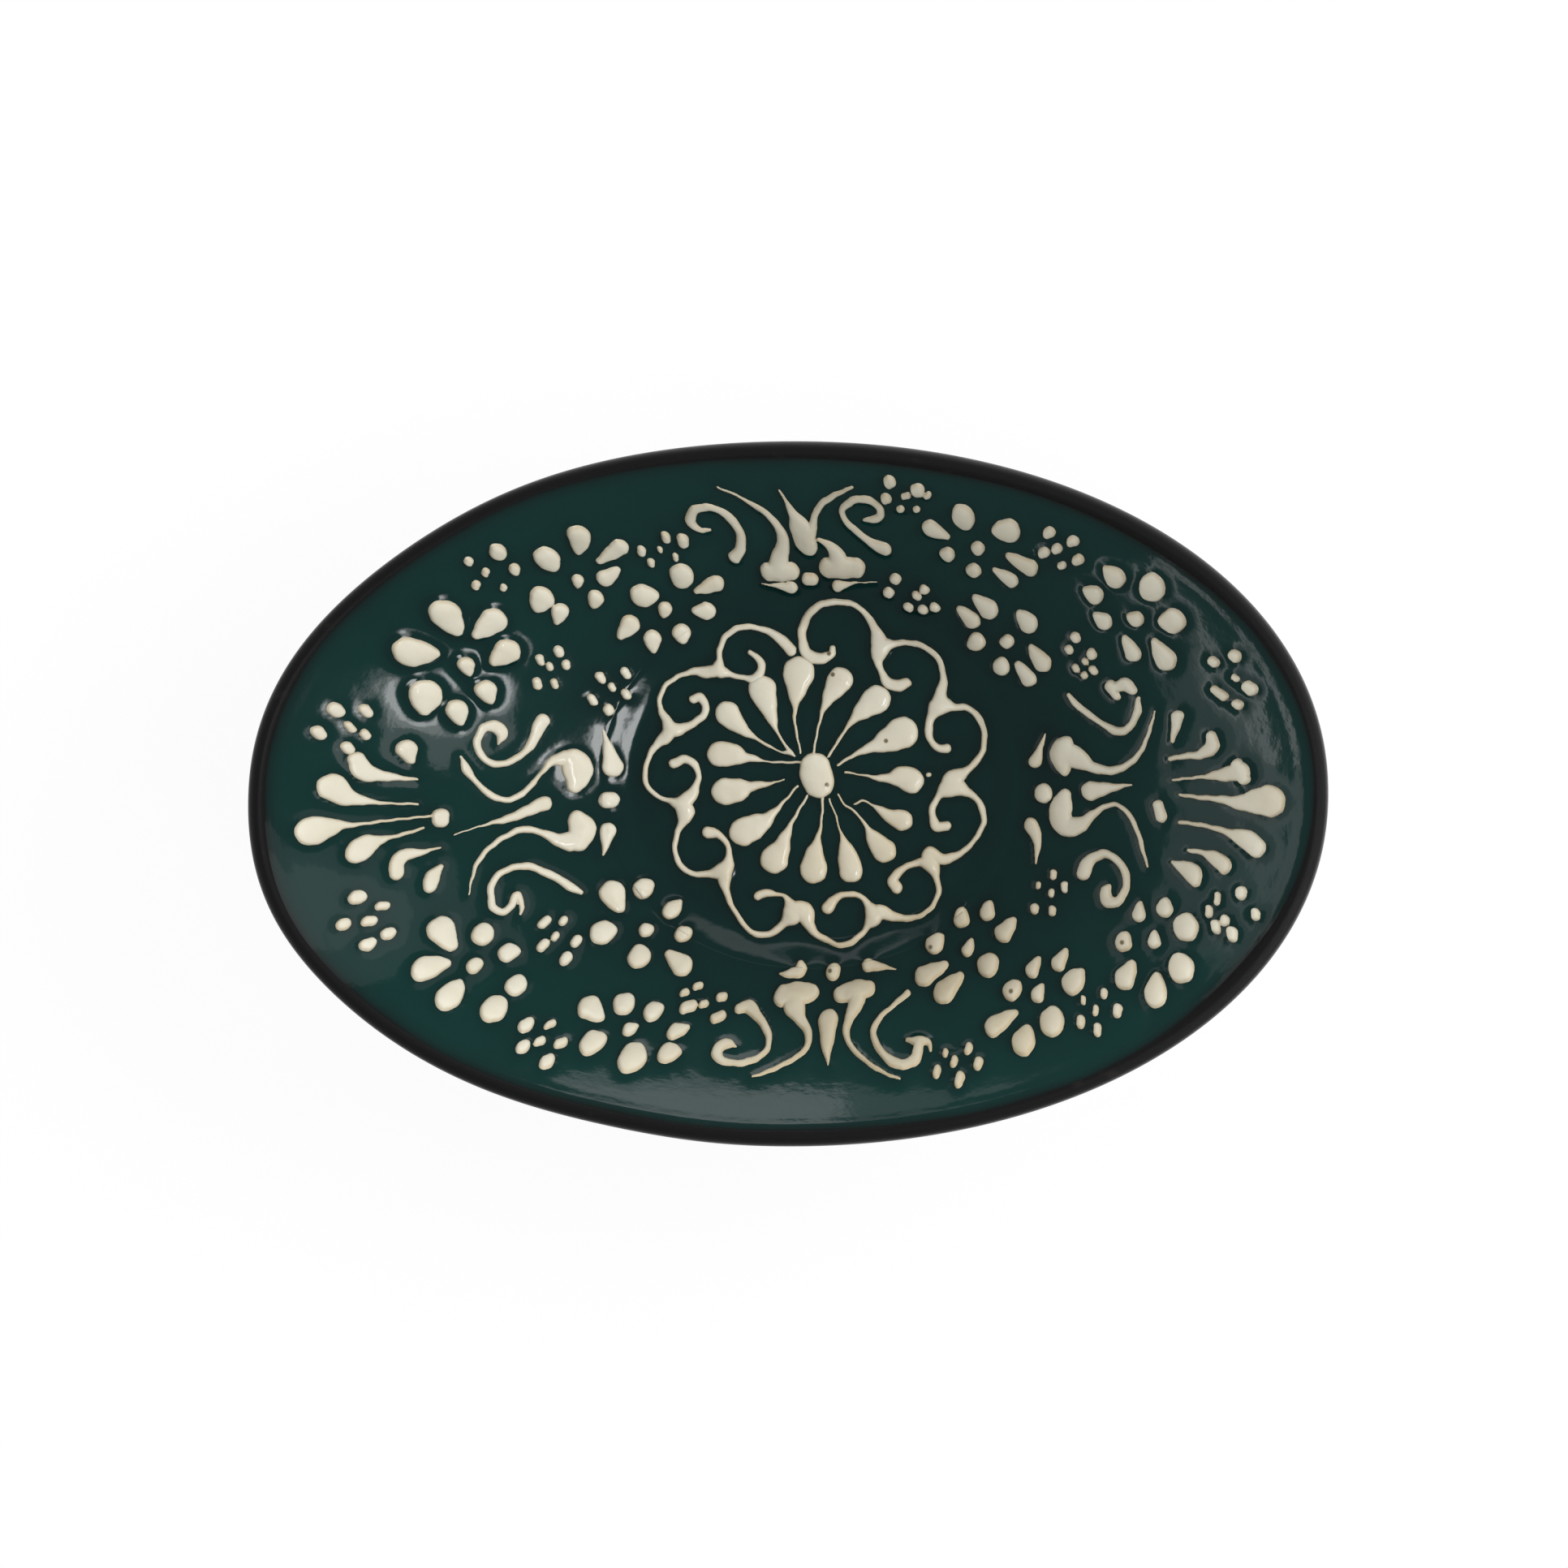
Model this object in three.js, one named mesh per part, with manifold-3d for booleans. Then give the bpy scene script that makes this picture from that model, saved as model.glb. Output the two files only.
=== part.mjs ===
// Oval serving bowl in glazed ceramic: a clay body on a foot ring, a glaze skin inside and outside, a black band
// over the lip, and an ornament of trailed slip (rosette, wreath, tulips, scrolls, fans, daisies, dots) inside.
// Millimetres, +Z up, the long axis on X, the origin under the middle of the foot on the table.
import * as THREE from "three";
import { ConvexGeometry } from "three/addons/geometries/ConvexGeometry.js";
import { mergeVertices } from "three/addons/utils/BufferGeometryUtils.js";
import Module from "manifold-3d";

// The oval of the lip, and the height of its crest.
const LENGTH = 168;
const WIDTH = 109;
const HEIGHT = 48;
const OVAL_POWER = 2.08;
const LIP_WIDTH = 3.4;
const LIP_ROUND = 1.5;
const BAND_DROP = 4.6;

// Where the wall was pressed in or pushed out by hand: the share of the radius, the direction and the spread.
const HAND_MARKS = [
  { share: -0.02, angle: 150, spreadAngle: 18 },
  { share: 0.01, angle: 192, spreadAngle: 10 },
  { share: -0.009, angle: 240, spreadAngle: 16 },
];

// The recessed well inside, its floor and the soft step round it.
const WELL_LENGTH = 68;
const WELL_WIDTH = 60;
const STEP_RUN = 5;
const STEP_RISE = 2.6;
const FLOOR_HEIGHT = 9;

// The foot ring.
const FOOT_LENGTH = 72;
const FOOT_WIDTH = 64;
const FOOT_HEIGHT = 4;
const FOOT_WALL = 5;
const FOOT_TAPER = 0.3;
const FOOT_EDGE = 0.7;
const BARE_FOOT = 1.5;

// The bow of the wall inside and outside: how far along the run and the rise its middle is pulled.
const INSIDE_RUN_SHARE = 0.62;
const INSIDE_RISE_SHARE = 0.36;
const OUTSIDE_RUN_SHARE = 0.61;
const OUTSIDE_RISE_SHARE = 0.31;

// Skins and relief.
const GLAZE = 0.5;
const GAP = 0.3;
const SLIP_RISE = 0.95;
const SLIP_SLOPE = 0.42;
const TAIL_WIDTH = 0.7;
const MARGIN = 1.75;

const SEGMENTS = 36;
const DRAWN_TO = 0.32;
const FINEST = 0.01;
const SLIP_COLOUR = 0xe2d8c4;
const GLAZE_COLOUR = 0x12302e;

const wasm = await Module();
wasm.setup();

const halfLength = LENGTH / 2;
const halfWidth = WIDTH / 2;
const lipHeight = HEIGHT - LIP_ROUND;
const shoulder = { a: WELL_LENGTH / 2, b: WELL_WIDTH / 2, z: FLOOR_HEIGHT + STEP_RISE };
const lipInside = { a: halfLength - LIP_WIDTH, b: halfWidth - LIP_WIDTH, z: lipHeight };
const lipOutside = { a: halfLength, b: halfWidth, z: lipHeight };
const foot = { a: FOOT_LENGTH / 2, b: FOOT_WIDTH / 2, z: FOOT_HEIGHT };

// One point of a bowed line between two levels, u from 0 to 1: the quadratic curve pulled to (run, rise).
function bowed(from, to, run, rise, u) {
  const along = 2 * u * (1 - u) * run + u * u;
  const up = 2 * u * (1 - u) * rise + u * u;
  return {
    a: from.a + (to.a - from.a) * along,
    b: from.b + (to.b - from.b) * along,
    z: from.z + (to.z - from.z) * up,
  };
}

const insideWall = (u) => ({ ...bowed(shoulder, lipInside, INSIDE_RUN_SHARE, INSIDE_RISE_SHARE, u), press: u });
const outsideWall = (v) => ({ ...bowed(foot, lipOutside, OUTSIDE_RUN_SHARE, OUTSIDE_RISE_SHARE, v), press: v });

// How far along the outside wall the black band ends.
function bandEnd() {
  let low = 0;
  let high = 1;
  for (let i = 0; i < 40; i++) {
    const middle = (low + high) / 2;
    if (outsideWall(middle).z < HEIGHT - BAND_DROP) low = middle;
    else high = middle;
  }
  return low;
}

// The skin of the bowl as levels, from the middle of the floor over the lip and down to the middle underneath.
// Each level is an oval: half axes a and b, height z, and the share of the hand marks that it takes.
const levels = [];
const marks = {};
function level(point, mark) {
  if (mark) marks[mark] = levels.length;
  levels.push({ press: 0, ...point });
}
level({ a: 0, b: 0, z: FLOOR_HEIGHT });
for (const share of [0.55, 1])
  level({ a: (shoulder.a - STEP_RUN) * share, b: (shoulder.b - STEP_RUN) * share, z: FLOOR_HEIGHT });
for (const s of [0.35, 0.65, 1]) {
  const eased = s * s * (3 - 2 * s);
  const short = STEP_RUN * (1 - s);
  level({ a: shoulder.a - short, b: shoulder.b - short, z: FLOOR_HEIGHT + STEP_RISE * eased });
}
const edgeShare = GAP / (LIP_WIDTH + HEIGHT);
for (const u of [0.17, 0.34, 0.51, 0.68, 0.84]) level(insideWall(u));
level(insideWall(1 - edgeShare), "insideEdge");
level(insideWall(1), "bandStart");
for (const [share, drop] of [[0.78, 0.36], [0.5, 0], [0.2, 0.34]])
  level({
    a: halfLength - LIP_WIDTH * share,
    b: halfWidth - LIP_WIDTH * share,
    z: HEIGHT - LIP_ROUND * drop,
    press: 1,
  });
level(outsideWall(1));
const bandAt = bandEnd();
level(outsideWall(bandAt), "bandEnd");
level(outsideWall(bandAt - edgeShare), "outsideStart");
for (const v of [0.8, 0.6, 0.4, 0.2, 0.07]) level(outsideWall(bandAt * v));
level(foot);
const footLevel = (inset, z, mark) => level({ a: foot.a - inset, b: foot.b - inset, z }, mark);
footLevel(FOOT_TAPER, BARE_FOOT, "outsideEnd");
footLevel(FOOT_TAPER, BARE_FOOT - GAP);
footLevel(FOOT_TAPER + FOOT_EDGE, 0);
footLevel(FOOT_WALL - FOOT_EDGE, 0);
footLevel(FOOT_WALL, FOOT_HEIGHT - FOOT_EDGE);
footLevel(FOOT_WALL + FOOT_EDGE, FOOT_HEIGHT);
level({ a: 0, b: 0, z: FOOT_HEIGHT }, "underMiddle");

// A point of the skin on one level, at one of the segments round the oval.
function skinPoint(index, segment) {
  const { a, b, z, press } = levels[index];
  const turn = (2 * Math.PI * (((segment % SEGMENTS) + SEGMENTS) % SEGMENTS)) / SEGMENTS;
  const bend = (value) => Math.sign(value) * Math.abs(value) ** (2 / OVAL_POWER);
  const x = a * bend(Math.cos(turn));
  const y = b * bend(Math.sin(turn));
  const direction = THREE.MathUtils.radToDeg(Math.atan2(y, x));
  let hand = 1;
  for (const { share, angle, spreadAngle } of HAND_MARKS) {
    const off = direction - angle - 360 * Math.round((direction - angle) / 360);
    hand += share * press * Math.exp(-((off / spreadAngle) ** 2));
  }
  return new THREE.Vector3(x * hand, y * hand, z);
}

// The skin's direction out of the clay at such a point, from its neighbours on the skin.
function skinNormal(index, segment) {
  if (index === 0) return new THREE.Vector3(0, 0, 1);
  if (index === marks.underMiddle) return new THREE.Vector3(0, 0, -1);
  const along = skinPoint(index + 1, segment).sub(skinPoint(index - 1, segment));
  const round = skinPoint(index, segment + 1).sub(skinPoint(index, segment - 1));
  return round.cross(along).negate().normalize();
}

// A closed body swept round the oval: its profile is a list of [level, depth under the skin].
function ovalBody(profile) {
  const rows = profile.length;
  const outline = profile.map(([index, depth]) => new THREE.Vector2(levels[index].a, levels[index].z - depth));
  const geometry = new THREE.LatheGeometry(outline, SEGMENTS);
  const place = geometry.getAttribute("position");
  for (let segment = 0; segment <= SEGMENTS; segment++)
    profile.forEach(([index, depth], row) => {
      const point = skinPoint(index, segment).addScaledVector(skinNormal(index, segment), -depth);
      place.setXYZ(segment * rows + row, point.x, point.y, point.z);
    });
  return solidFrom(geometry);
}

// A solid from a closed geometry: vertices merged, collapsed faces dropped, faces turned outwards.
function solidFrom(geometry) {
  geometry.deleteAttribute("normal");
  geometry.deleteAttribute("uv");
  const merged = mergeVertices(geometry, 1e-4);
  const faces = [];
  const index = merged.getIndex();
  for (let i = 0; i < index.count; i += 3) {
    const [p, q, r] = [index.getX(i), index.getX(i + 1), index.getX(i + 2)];
    if (p !== q && q !== r && r !== p) faces.push(p, q, r);
  }
  const vertProperties = new Float32Array(merged.getAttribute("position").array);
  const make = (triangles) =>
    new wasm.Manifold(new wasm.Mesh({ numProp: 3, vertProperties, triVerts: new Uint32Array(triangles) }));
  const made = make(faces);
  if (made.volume() > 0) return made;
  const turned = [];
  for (let i = 0; i < faces.length; i += 3) turned.push(faces[i], faces[i + 2], faces[i + 1]);
  return make(turned);
}

const range = (first, last) => Array.from({ length: last - first + 1 }, (_, i) => first + i);
const onSkin = (first, last, depth) => range(first, last).map((index) => [index, depth]);
const shell = (first, last) => {
  const outer = onSkin(first, last, 0);
  const inner = onSkin(first, last, GLAZE).reverse();
  const loop = [...outer, ...inner];
  return levels[first].a === 0 ? loop : [...loop, loop[0]];
};

const under = GLAZE + GAP;
const bodyProfile = [
  ...onSkin(0, marks.outsideEnd, under),
  ...onSkin(marks.outsideEnd + 1, marks.underMiddle, 0),
];
const clayBody = ovalBody(bodyProfile);
const innerGlaze = ovalBody(shell(0, marks.insideEdge));
const rimBand = ovalBody(shell(marks.bandStart, marks.bandEnd));
const outerGlaze = ovalBody(shell(marks.outsideStart, marks.outsideEnd));

// The facets of the glazed inside, for laying the slip on them.
const facets = [];
for (let index = 0; index < marks.insideEdge; index++)
  for (let segment = 0; segment < SEGMENTS; segment++) {
    const corner = (i, s) => ({ at: skinPoint(i, s), up: skinNormal(i, s) });
    const low = corner(index, segment);
    const lowNext = corner(index, segment + 1);
    const high = corner(index + 1, segment);
    const highNext = corner(index + 1, segment + 1);
    if (index > 0) facets.push([low, lowNext, highNext]);
    facets.push([low, highNext, high]);
  }
const tallest = facets.map((facet) => ({
  facet,
  left: Math.min(...facet.map((c) => c.at.x)),
  right: Math.max(...facet.map((c) => c.at.x)),
  front: Math.min(...facet.map((c) => c.at.y)),
  back: Math.max(...facet.map((c) => c.at.y)),
}));

// The place on the glaze over a plan point, and the direction out of it there.
function seat(x, y) {
  let best = null;
  let nearest = -Infinity;
  for (const { facet, left, right, front, back } of tallest) {
    if (x < left - 0.01 || x > right + 0.01 || y < front - 0.01 || y > back + 0.01) continue;
    const [p, q, r] = facet;
    const area = (q.at.x - p.at.x) * (r.at.y - p.at.y) - (r.at.x - p.at.x) * (q.at.y - p.at.y);
    const second = ((x - p.at.x) * (r.at.y - p.at.y) - (r.at.x - p.at.x) * (y - p.at.y)) / area;
    const third = ((q.at.x - p.at.x) * (y - p.at.y) - (x - p.at.x) * (q.at.y - p.at.y)) / area;
    const first = 1 - second - third;
    const inside = Math.min(first, second, third);
    if (inside <= nearest) continue;
    nearest = inside;
    best = { facet, shares: [first, second, third] };
  }
  const point = new THREE.Vector3();
  const up = new THREE.Vector3();
  best.facet.forEach((cornerOf, i) => {
    point.addScaledVector(cornerOf.at, best.shares[i]);
    up.addScaledVector(cornerOf.up, best.shares[i]);
  });
  return { point: point.setX(x).setY(y), up: up.normalize() };
}

// The ornament in plan. A drop is [head x, head y, tip x, tip y, width]; a line is a list of [x, y, width].
const FLOWERS = [
  { heart: [-53.0, 20.8, -52.7, 18.4, 2.5], petals: [
    [-54.6, 28.6, -53.2, 25.0, 4.8], [-48.2, 27.8, -51.5, 24.7, 3.7], [-60.3, 22.8, -56.4, 22.4, 4.9],
    [-46.9, 22.5, -49.6, 20.3, 3.8], [-59.4, 15.6, -60.0, 12.1, 4.8], [-55.0, 13.3, -54.6, 10.3, 3.4],
    [-50.6, 16.3, -50.0, 13.8, 3.4] ] },
  { heart: [-34.8, 33.9, -35.1, 32.0, 1.9], petals: [
    [-38.5, 37.1, -37.4, 35.2, 3.9], [-33.0, 40.4, -33.9, 37.6, 3.4], [-27.6, 38.7, -31.5, 36.2, 2.6],
    [-30.8, 33.9, -28.0, 35.5, 2.6], [-32.6, 30.7, -33.4, 28.8, 2.7], [-38.0, 28.7, -38.7, 26.2, 2.4],
    [-40.7, 31.0, -41.9, 28.9, 3.2] ] },
  { heart: [-22.4, 28.8, -22.9, 27.0, 2.3], petals: [
    [-19.0, 34.2, -19.8, 31.9, 4.2], [-14.2, 32.7, -17.7, 31.2, 2.7], [-16.0, 28.2, -18.5, 28.2, 3.1],
    [-20.3, 24.8, -20.2, 22.7, 3.1], [-24.9, 23.9, -25.0, 21.2, 2.9], [-28.0, 26.2, -30.2, 23.8, 3.2],
    [-25.5, 30.9, -22.8, 31.0, 3.7] ] },
  { heart: [29.5, 37.7, 27.9, 38.0, 2.3], petals: [
    [27.8, 42.8, 28.6, 40.4, 3.8], [34.9, 40.4, 32.0, 40.6, 3.8], [37.6, 34.5, 33.7, 36.8, 2.8],
    [34.4, 32.6, 31.3, 34.5, 2.4], [28.4, 34.2, 26.5, 34.5, 2.4], [24.4, 36.9, 22.6, 37.2, 2.4],
    [22.1, 41.0, 25.3, 39.3, 2.7] ] },
  { heart: [32.9, 22.7, 31.3, 22.8, 2.4], petals: [
    [27.2, 26.4, 24.8, 28.4, 2.9], [30.2, 27.9, 27.6, 30.2, 3.3], [27.8, 22.7, 26.0, 21.4, 3.1],
    [31.7, 18.6, 31.8, 20.5, 3.0], [36.6, 25.6, 34.7, 27.8, 3.4], [38.6, 19.2, 36.4, 22.3, 3.1],
    [36.2, 16.7, 34.0, 19.6, 2.7] ] },
  { heart: [54.4, 26.3, 52.4, 26.9, 2.6], petals: [
    [51.5, 32.8, 49.3, 34.8, 3.5], [47.9, 30.1, 45.7, 31.4, 3.0], [49.1, 25.9, 47.2, 27.4, 2.8],
    [57.3, 31.2, 57.2, 33.6, 4.4], [53.6, 20.8, 52.0, 23.9, 2.8], [58.9, 19.8, 56.9, 23.3, 3.7],
    [60.4, 26.0, 57.9, 26.0, 4.1] ] },
  { heart: [-51.8, -27.7, -49.9, -27.3, 2.5], petals: [
    [-57.1, -21.9, -54.8, -25.4, 4.2], [-51.1, -22.9, -50.0, -24.3, 3.5], [-47.3, -26.0, -45.1, -25.9, 3.0],
    [-58.7, -27.6, -55.3, -27.3, 4.0], [-54.6, -32.0, -53.2, -29.5, 4.2], [-45.4, -31.0, -47.6, -30.7, 3.3],
    [-48.0, -34.3, -45.9, -36.0, 3.9] ] },
  { heart: [-26.7, -23.5, -24.9, -23.2, 2.4], petals: [
    [-32.2, -17.4, -30.5, -20.7, 4.2], [-27.4, -16.9, -26.1, -15.6, 3.5], [-22.9, -20.5, -21.1, -18.7, 3.0],
    [-33.4, -23.6, -30.8, -23.3, 4.1], [-20.9, -24.3, -19.1, -23.5, 2.9], [-27.4, -27.6, -27.6, -25.5, 3.8],
    [-20.6, -29.1, -23.6, -26.7, 3.5] ] },
  { heart: [-27.5, -38.3, -25.6, -37.8, 2.1], petals: [
    [-34.1, -34.9, -31.2, -36.9, 3.6], [-28.8, -34.6, -31.0, -33.5, 3.5], [-24.3, -35.8, -22.2, -35.1, 3.0],
    [-32.7, -39.9, -30.2, -39.3, 3.7], [-20.4, -38.9, -17.7, -38.2, 2.6], [-26.1, -42.2, -24.3, -42.8, 4.2],
    [-20.9, -41.8, -18.4, -41.7, 3.1] ] },
  { heart: [25.8, -26.9, 26.8, -24.7, 2.1], petals: [
    [24.6, -22.1, 24.7, -19.8, 2.9], [28.9, -21.0, 29.4, -18.7, 2.7], [20.2, -26.0, 21.8, -24.2, 3.2],
    [31.7, -24.1, 33.9, -21.3, 3.1], [18.9, -31.0, 22.9, -28.8, 3.2], [22.4, -33.2, 25.4, -30.2, 3.6],
    [29.3, -29.1, 30.9, -27.1, 3.7] ] },
  { heart: [37.8, -33.2, 38.7, -31.1, 2.3], petals: [
    [33.5, -32.7, 35.2, -31.0, 3.1], [36.7, -29.6, 38.1, -27.1, 2.5], [41.0, -28.4, 42.6, -25.6, 2.6],
    [43.5, -31.1, 45.5, -28.7, 3.8], [31.0, -37.9, 35.0, -35.4, 3.2], [36.1, -39.8, 37.2, -37.1, 4.0],
    [40.5, -36.8, 40.9, -34.3, 4.2] ] },
  { heart: [56.6, -24.3, 56.8, -22.1, 2.2], petals: [
    [54.0, -20.4, 54.4, -17.9, 2.3], [58.2, -19.3, 58.5, -16.9, 2.8], [51.6, -24.7, 52.4, -22.6, 3.0],
    [61.7, -21.9, 62.0, -19.5, 4.2], [52.0, -30.0, 53.8, -26.8, 3.5], [57.1, -31.9, 57.5, -28.3, 3.9],
    [61.1, -27.9, 60.5, -25.4, 4.3] ] },
];

// Groups of small drops: the direction in degrees their long way leans, and each drop's middle and width.
const DOTS = [
  { lean: 65, drops: [[-45.1, 38.3, 2.2], [-49.5, 36.9, 1.4], [-47.6, 35.1, 1.3], [-49.4, 33.1, 1.3],
    [-43.5, 35.5, 1.7], [-45.7, 32.6, 1.1]] },
  { lean: 80, drops: [[-24.4, 38.1, 1.4], [-20.2, 40.2, 1.4], [-21.5, 38.3, 0.9], [-17.7, 39.6, 1.8],
    [-23.3, 36.2, 1.2], [-19.4, 37.0, 1.0]] },
  { lean: 100, drops: [[-39.2, 22.0, 1.6], [-42.1, 20.8, 1.4], [-40.8, 19.6, 1.3], [-38.3, 19.8, 1.3],
    [-42.9, 16.9, 1.5], [-40.3, 16.8, 1.3]] },
  { lean: 110, drops: [[-33.3, 17.6, 1.5], [-29.4, 18.2, 1.5], [-31.7, 16.0, 1.3], [-29.6, 14.8, 1.5],
    [-34.8, 14.0, 1.5], [-32.4, 12.3, 1.6]] },
  { lean: 115, drops: [[-71.4, 13.7, 2.1], [-67.5, 13.4, 1.8], [-74.0, 10.2, 2.0], [-69.9, 10.9, 1.4],
    [-67.9, 9.6, 1.4], [-70.4, 7.7, 1.6]] },
  { lean: 20, drops: [[17.1, 48.0, 1.7], [15.9, 45.7, 1.5], [17.8, 44.1, 1.2], [20.4, 44.0, 1.0],
    [21.2, 47.1, 1.8], [18.9, 46.1, 1.0], [23.0, 45.6, 1.0]] },
  { lean: 150, drops: [[15.2, 33.0, 1.6], [13.8, 30.8, 1.6], [18.5, 30.3, 1.4], [19.8, 31.2, 1.4],
    [16.9, 28.4, 1.5], [19.3, 28.0, 1.4], [21.2, 28.3, 1.6]] },
  { lean: 15, drops: [[41.4, 40.0, 1.7], [45.1, 38.6, 1.7], [42.4, 37.5, 1.5], [40.2, 36.9, 1.6],
    [45.6, 35.7, 1.7], [42.9, 34.9, 1.2]] },
  { lean: 110, drops: [[44.3, 23.3, 1.5], [43.1, 21.4, 1.4], [46.8, 20.7, 1.5], [45.8, 19.4, 1.1],
    [44.1, 18.4, 1.2], [47.0, 18.1, 1.3], [45.5, 17.2, 1.1]] },
  { lean: 130, drops: [[66.6, 19.6, 1.7], [70.0, 20.6, 1.8], [69.9, 17.1, 1.2], [72.2, 15.6, 2.0],
    [66.8, 15.0, 1.4], [68.0, 14.2, 1.4], [70.2, 13.0, 1.6]] },
  { lean: 20, drops: [[-69.1, -16.1, 2.3], [-65.6, -17.7, 1.6], [-70.6, -20.1, 1.9], [-67.2, -19.9, 1.8],
    [-64.4, -22.1, 1.9], [-67.0, -23.4, 2.0]] },
  { lean: 50, drops: [[-42.2, -21.6, 1.7], [-39.4, -21.5, 1.4], [-40.4, -23.9, 1.3], [-42.1, -25.2, 1.8],
    [-37.2, -24.8, 1.7], [-38.5, -27.4, 1.9]] },
  { lean: 20, drops: [[-42.9, -36.9, 2.1], [-39.4, -37.0, 1.4], [-42.6, -39.9, 1.9], [-40.4, -39.3, 1.4],
    [-37.2, -39.7, 1.6], [-38.6, -42.1, 2.0]] },
  { lean: 15, drops: [[-19.8, -33.3, 1.2], [-17.8, -32.4, 1.3], [-13.9, -34.1, 1.6], [-18.9, -35.4, 1.8],
    [-16.6, -35.1, 1.3], [-14.0, -37.0, 1.7]] },
  { lean: 85, drops: [[39.8, -14.8, 1.2], [41.7, -16.6, 1.2], [37.3, -16.5, 1.0], [39.5, -17.6, 1.1],
    [36.8, -20.2, 1.5], [39.7, -20.4, 1.3]] },
  { lean: 100, drops: [[70.5, -16.2, 1.7], [66.7, -17.3, 1.2], [65.4, -19.3, 1.3], [72.8, -19.2, 1.5],
    [66.6, -21.5, 1.7], [68.0, -20.6, 1.4], [69.2, -22.4, 1.8]] },
  { lean: 80, drops: [[45.4, -33.5, 1.1], [48.7, -32.3, 1.3], [47.5, -34.8, 1.2], [51.1, -34.6, 1.5],
    [45.2, -36.5, 1.6], [48.0, -37.4, 1.4]] },
  { lean: 75, drops: [[23.5, -41.8, 1.1], [25.1, -42.9, 1.3], [27.2, -41.1, 1.4], [22.5, -44.3, 1.4],
    [29.1, -43.0, 1.5], [26.4, -45.1, 1.6]] },
];

const ROSETTE_HUB = [[0.7, 4.0, 4.4], [0.9, 1.6, 5.6], [1.5, -1.4, 4.4], [2.0, -2.4, 3.0]];
const ROSETTE_PETALS = [
  [[-7.5, 16.0, 3.0], [-7.4, 14.6, 4.6], [-6.4, 11.4, 2.3], [-5.5, 8.9, 0.9], [-4.2, 6.4, 0.6], [-2.6, 4.4, 0.7]],
  [[-1.9, 19.3, 3.2], [-1.8, 17.5, 5.1], [-2.0, 14.9, 2.9], [-2.3, 12.4, 1.1], [-2.4, 10.0, 0.7], [-1.4, 4.6, 0.6]],
  [[-13.7, 13.4, 2.2], [-13.6, 11.2, 4.2], [-12.0, 9.8, 3.0], [-10.4, 8.4, 1.6], [-9.0, 7.4, 0.9], [-4.4, 5.0, 0.7],
    [-2.0, 4.0, 0.6]],
  [[-16.0, 4.6, 3.0], [-14.5, 4.8, 4.2], [-12.6, 4.7, 3.4], [-10.8, 4.2, 1.7], [-9.0, 4.0, 1.1], [-7.6, 3.6, 0.7],
    [-1.1, 3.3, 0.6]],
  [[-15.1, -1.3, 3.4], [-13.8, -1.3, 4.4], [-12.0, -1.1, 3.6], [-10.0, -0.5, 1.9], [-7.8, -0.2, 1.1],
    [-6.0, 0.1, 0.6], [-4.2, 0.6, 0.6], [-1.4, 1.2, 0.6]],
  [[-12.7, -8.1, 3.0], [-11.0, -7.9, 4.7], [-9.2, -7.0, 4.0], [-7.4, -6.0, 2.3], [-5.8, -4.5, 1.2],
    [-4.2, -2.9, 0.7], [-1.8, -0.3, 0.6]],
  [[-6.4, -14.2, 2.9], [-6.1, -12.4, 4.6], [-4.9, -10.3, 2.8], [-4.1, -8.4, 1.6], [-3.2, -6.6, 0.9],
    [-2.1, -4.6, 0.7], [-0.3, -1.8, 0.6]],
  [[0.4, -15.9, 3.0], [0.3, -14.1, 4.6], [0.5, -11.6, 3.0], [1.0, -9.4, 1.3], [1.5, -7.7, 0.8], [1.8, -5.5, 0.6],
    [2.0, -2.3, 0.7]],
  [[6.4, -16.2, 2.5], [6.4, -14.4, 4.0], [5.8, -11.6, 2.9], [5.3, -9.6, 1.3], [4.7, -7.9, 0.7], [4.1, -5.5, 0.6],
    [2.8, -2.2, 0.6]],
  [[13.1, -12.2, 2.6], [11.9, -11.1, 4.0], [10.6, -9.7, 3.0], [9.5, -8.0, 1.3], [8.3, -6.0, 0.7], [6.9, -4.5, 0.6],
    [5.5, -3.6, 0.6], [3.0, -0.8, 0.6]],
  [[16.3, -5.9, 2.3], [14.9, -6.2, 3.4], [13.0, -5.6, 2.4], [11.3, -4.5, 1.3], [10.0, -3.6, 0.7], [8.6, -2.9, 0.6],
    [2.8, -0.2, 0.6]],
  [[17.8, 0.0, 3.3], [16.6, 0.2, 4.3], [15.0, 0.7, 3.7], [13.1, 0.6, 1.9], [10.9, 0.7, 1.1], [8.4, 1.2, 0.6],
    [2.6, 1.8, 0.6]],
  [[16.3, 6.6, 3.6], [15.0, 7.8, 5.2], [12.9, 6.9, 3.9], [10.7, 5.9, 2.2], [8.7, 5.1, 1.3], [6.7, 4.1, 0.8],
    [2.8, 2.4, 0.6]],
  [[11.8, 14.0, 3.2], [10.8, 13.2, 4.6], [9.3, 12.1, 3.4], [7.8, 10.8, 1.8], [6.4, 9.2, 0.9], [4.8, 6.9, 0.7],
    [2.4, 3.6, 0.6]],
  [[5.8, 17.8, 2.8], [5.0, 16.4, 4.3], [3.8, 14.6, 2.9], [2.7, 12.7, 1.4], [1.9, 10.5, 0.7], [1.2, 7.9, 0.6],
    [0.6, 4.5, 0.6]],
];

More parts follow.
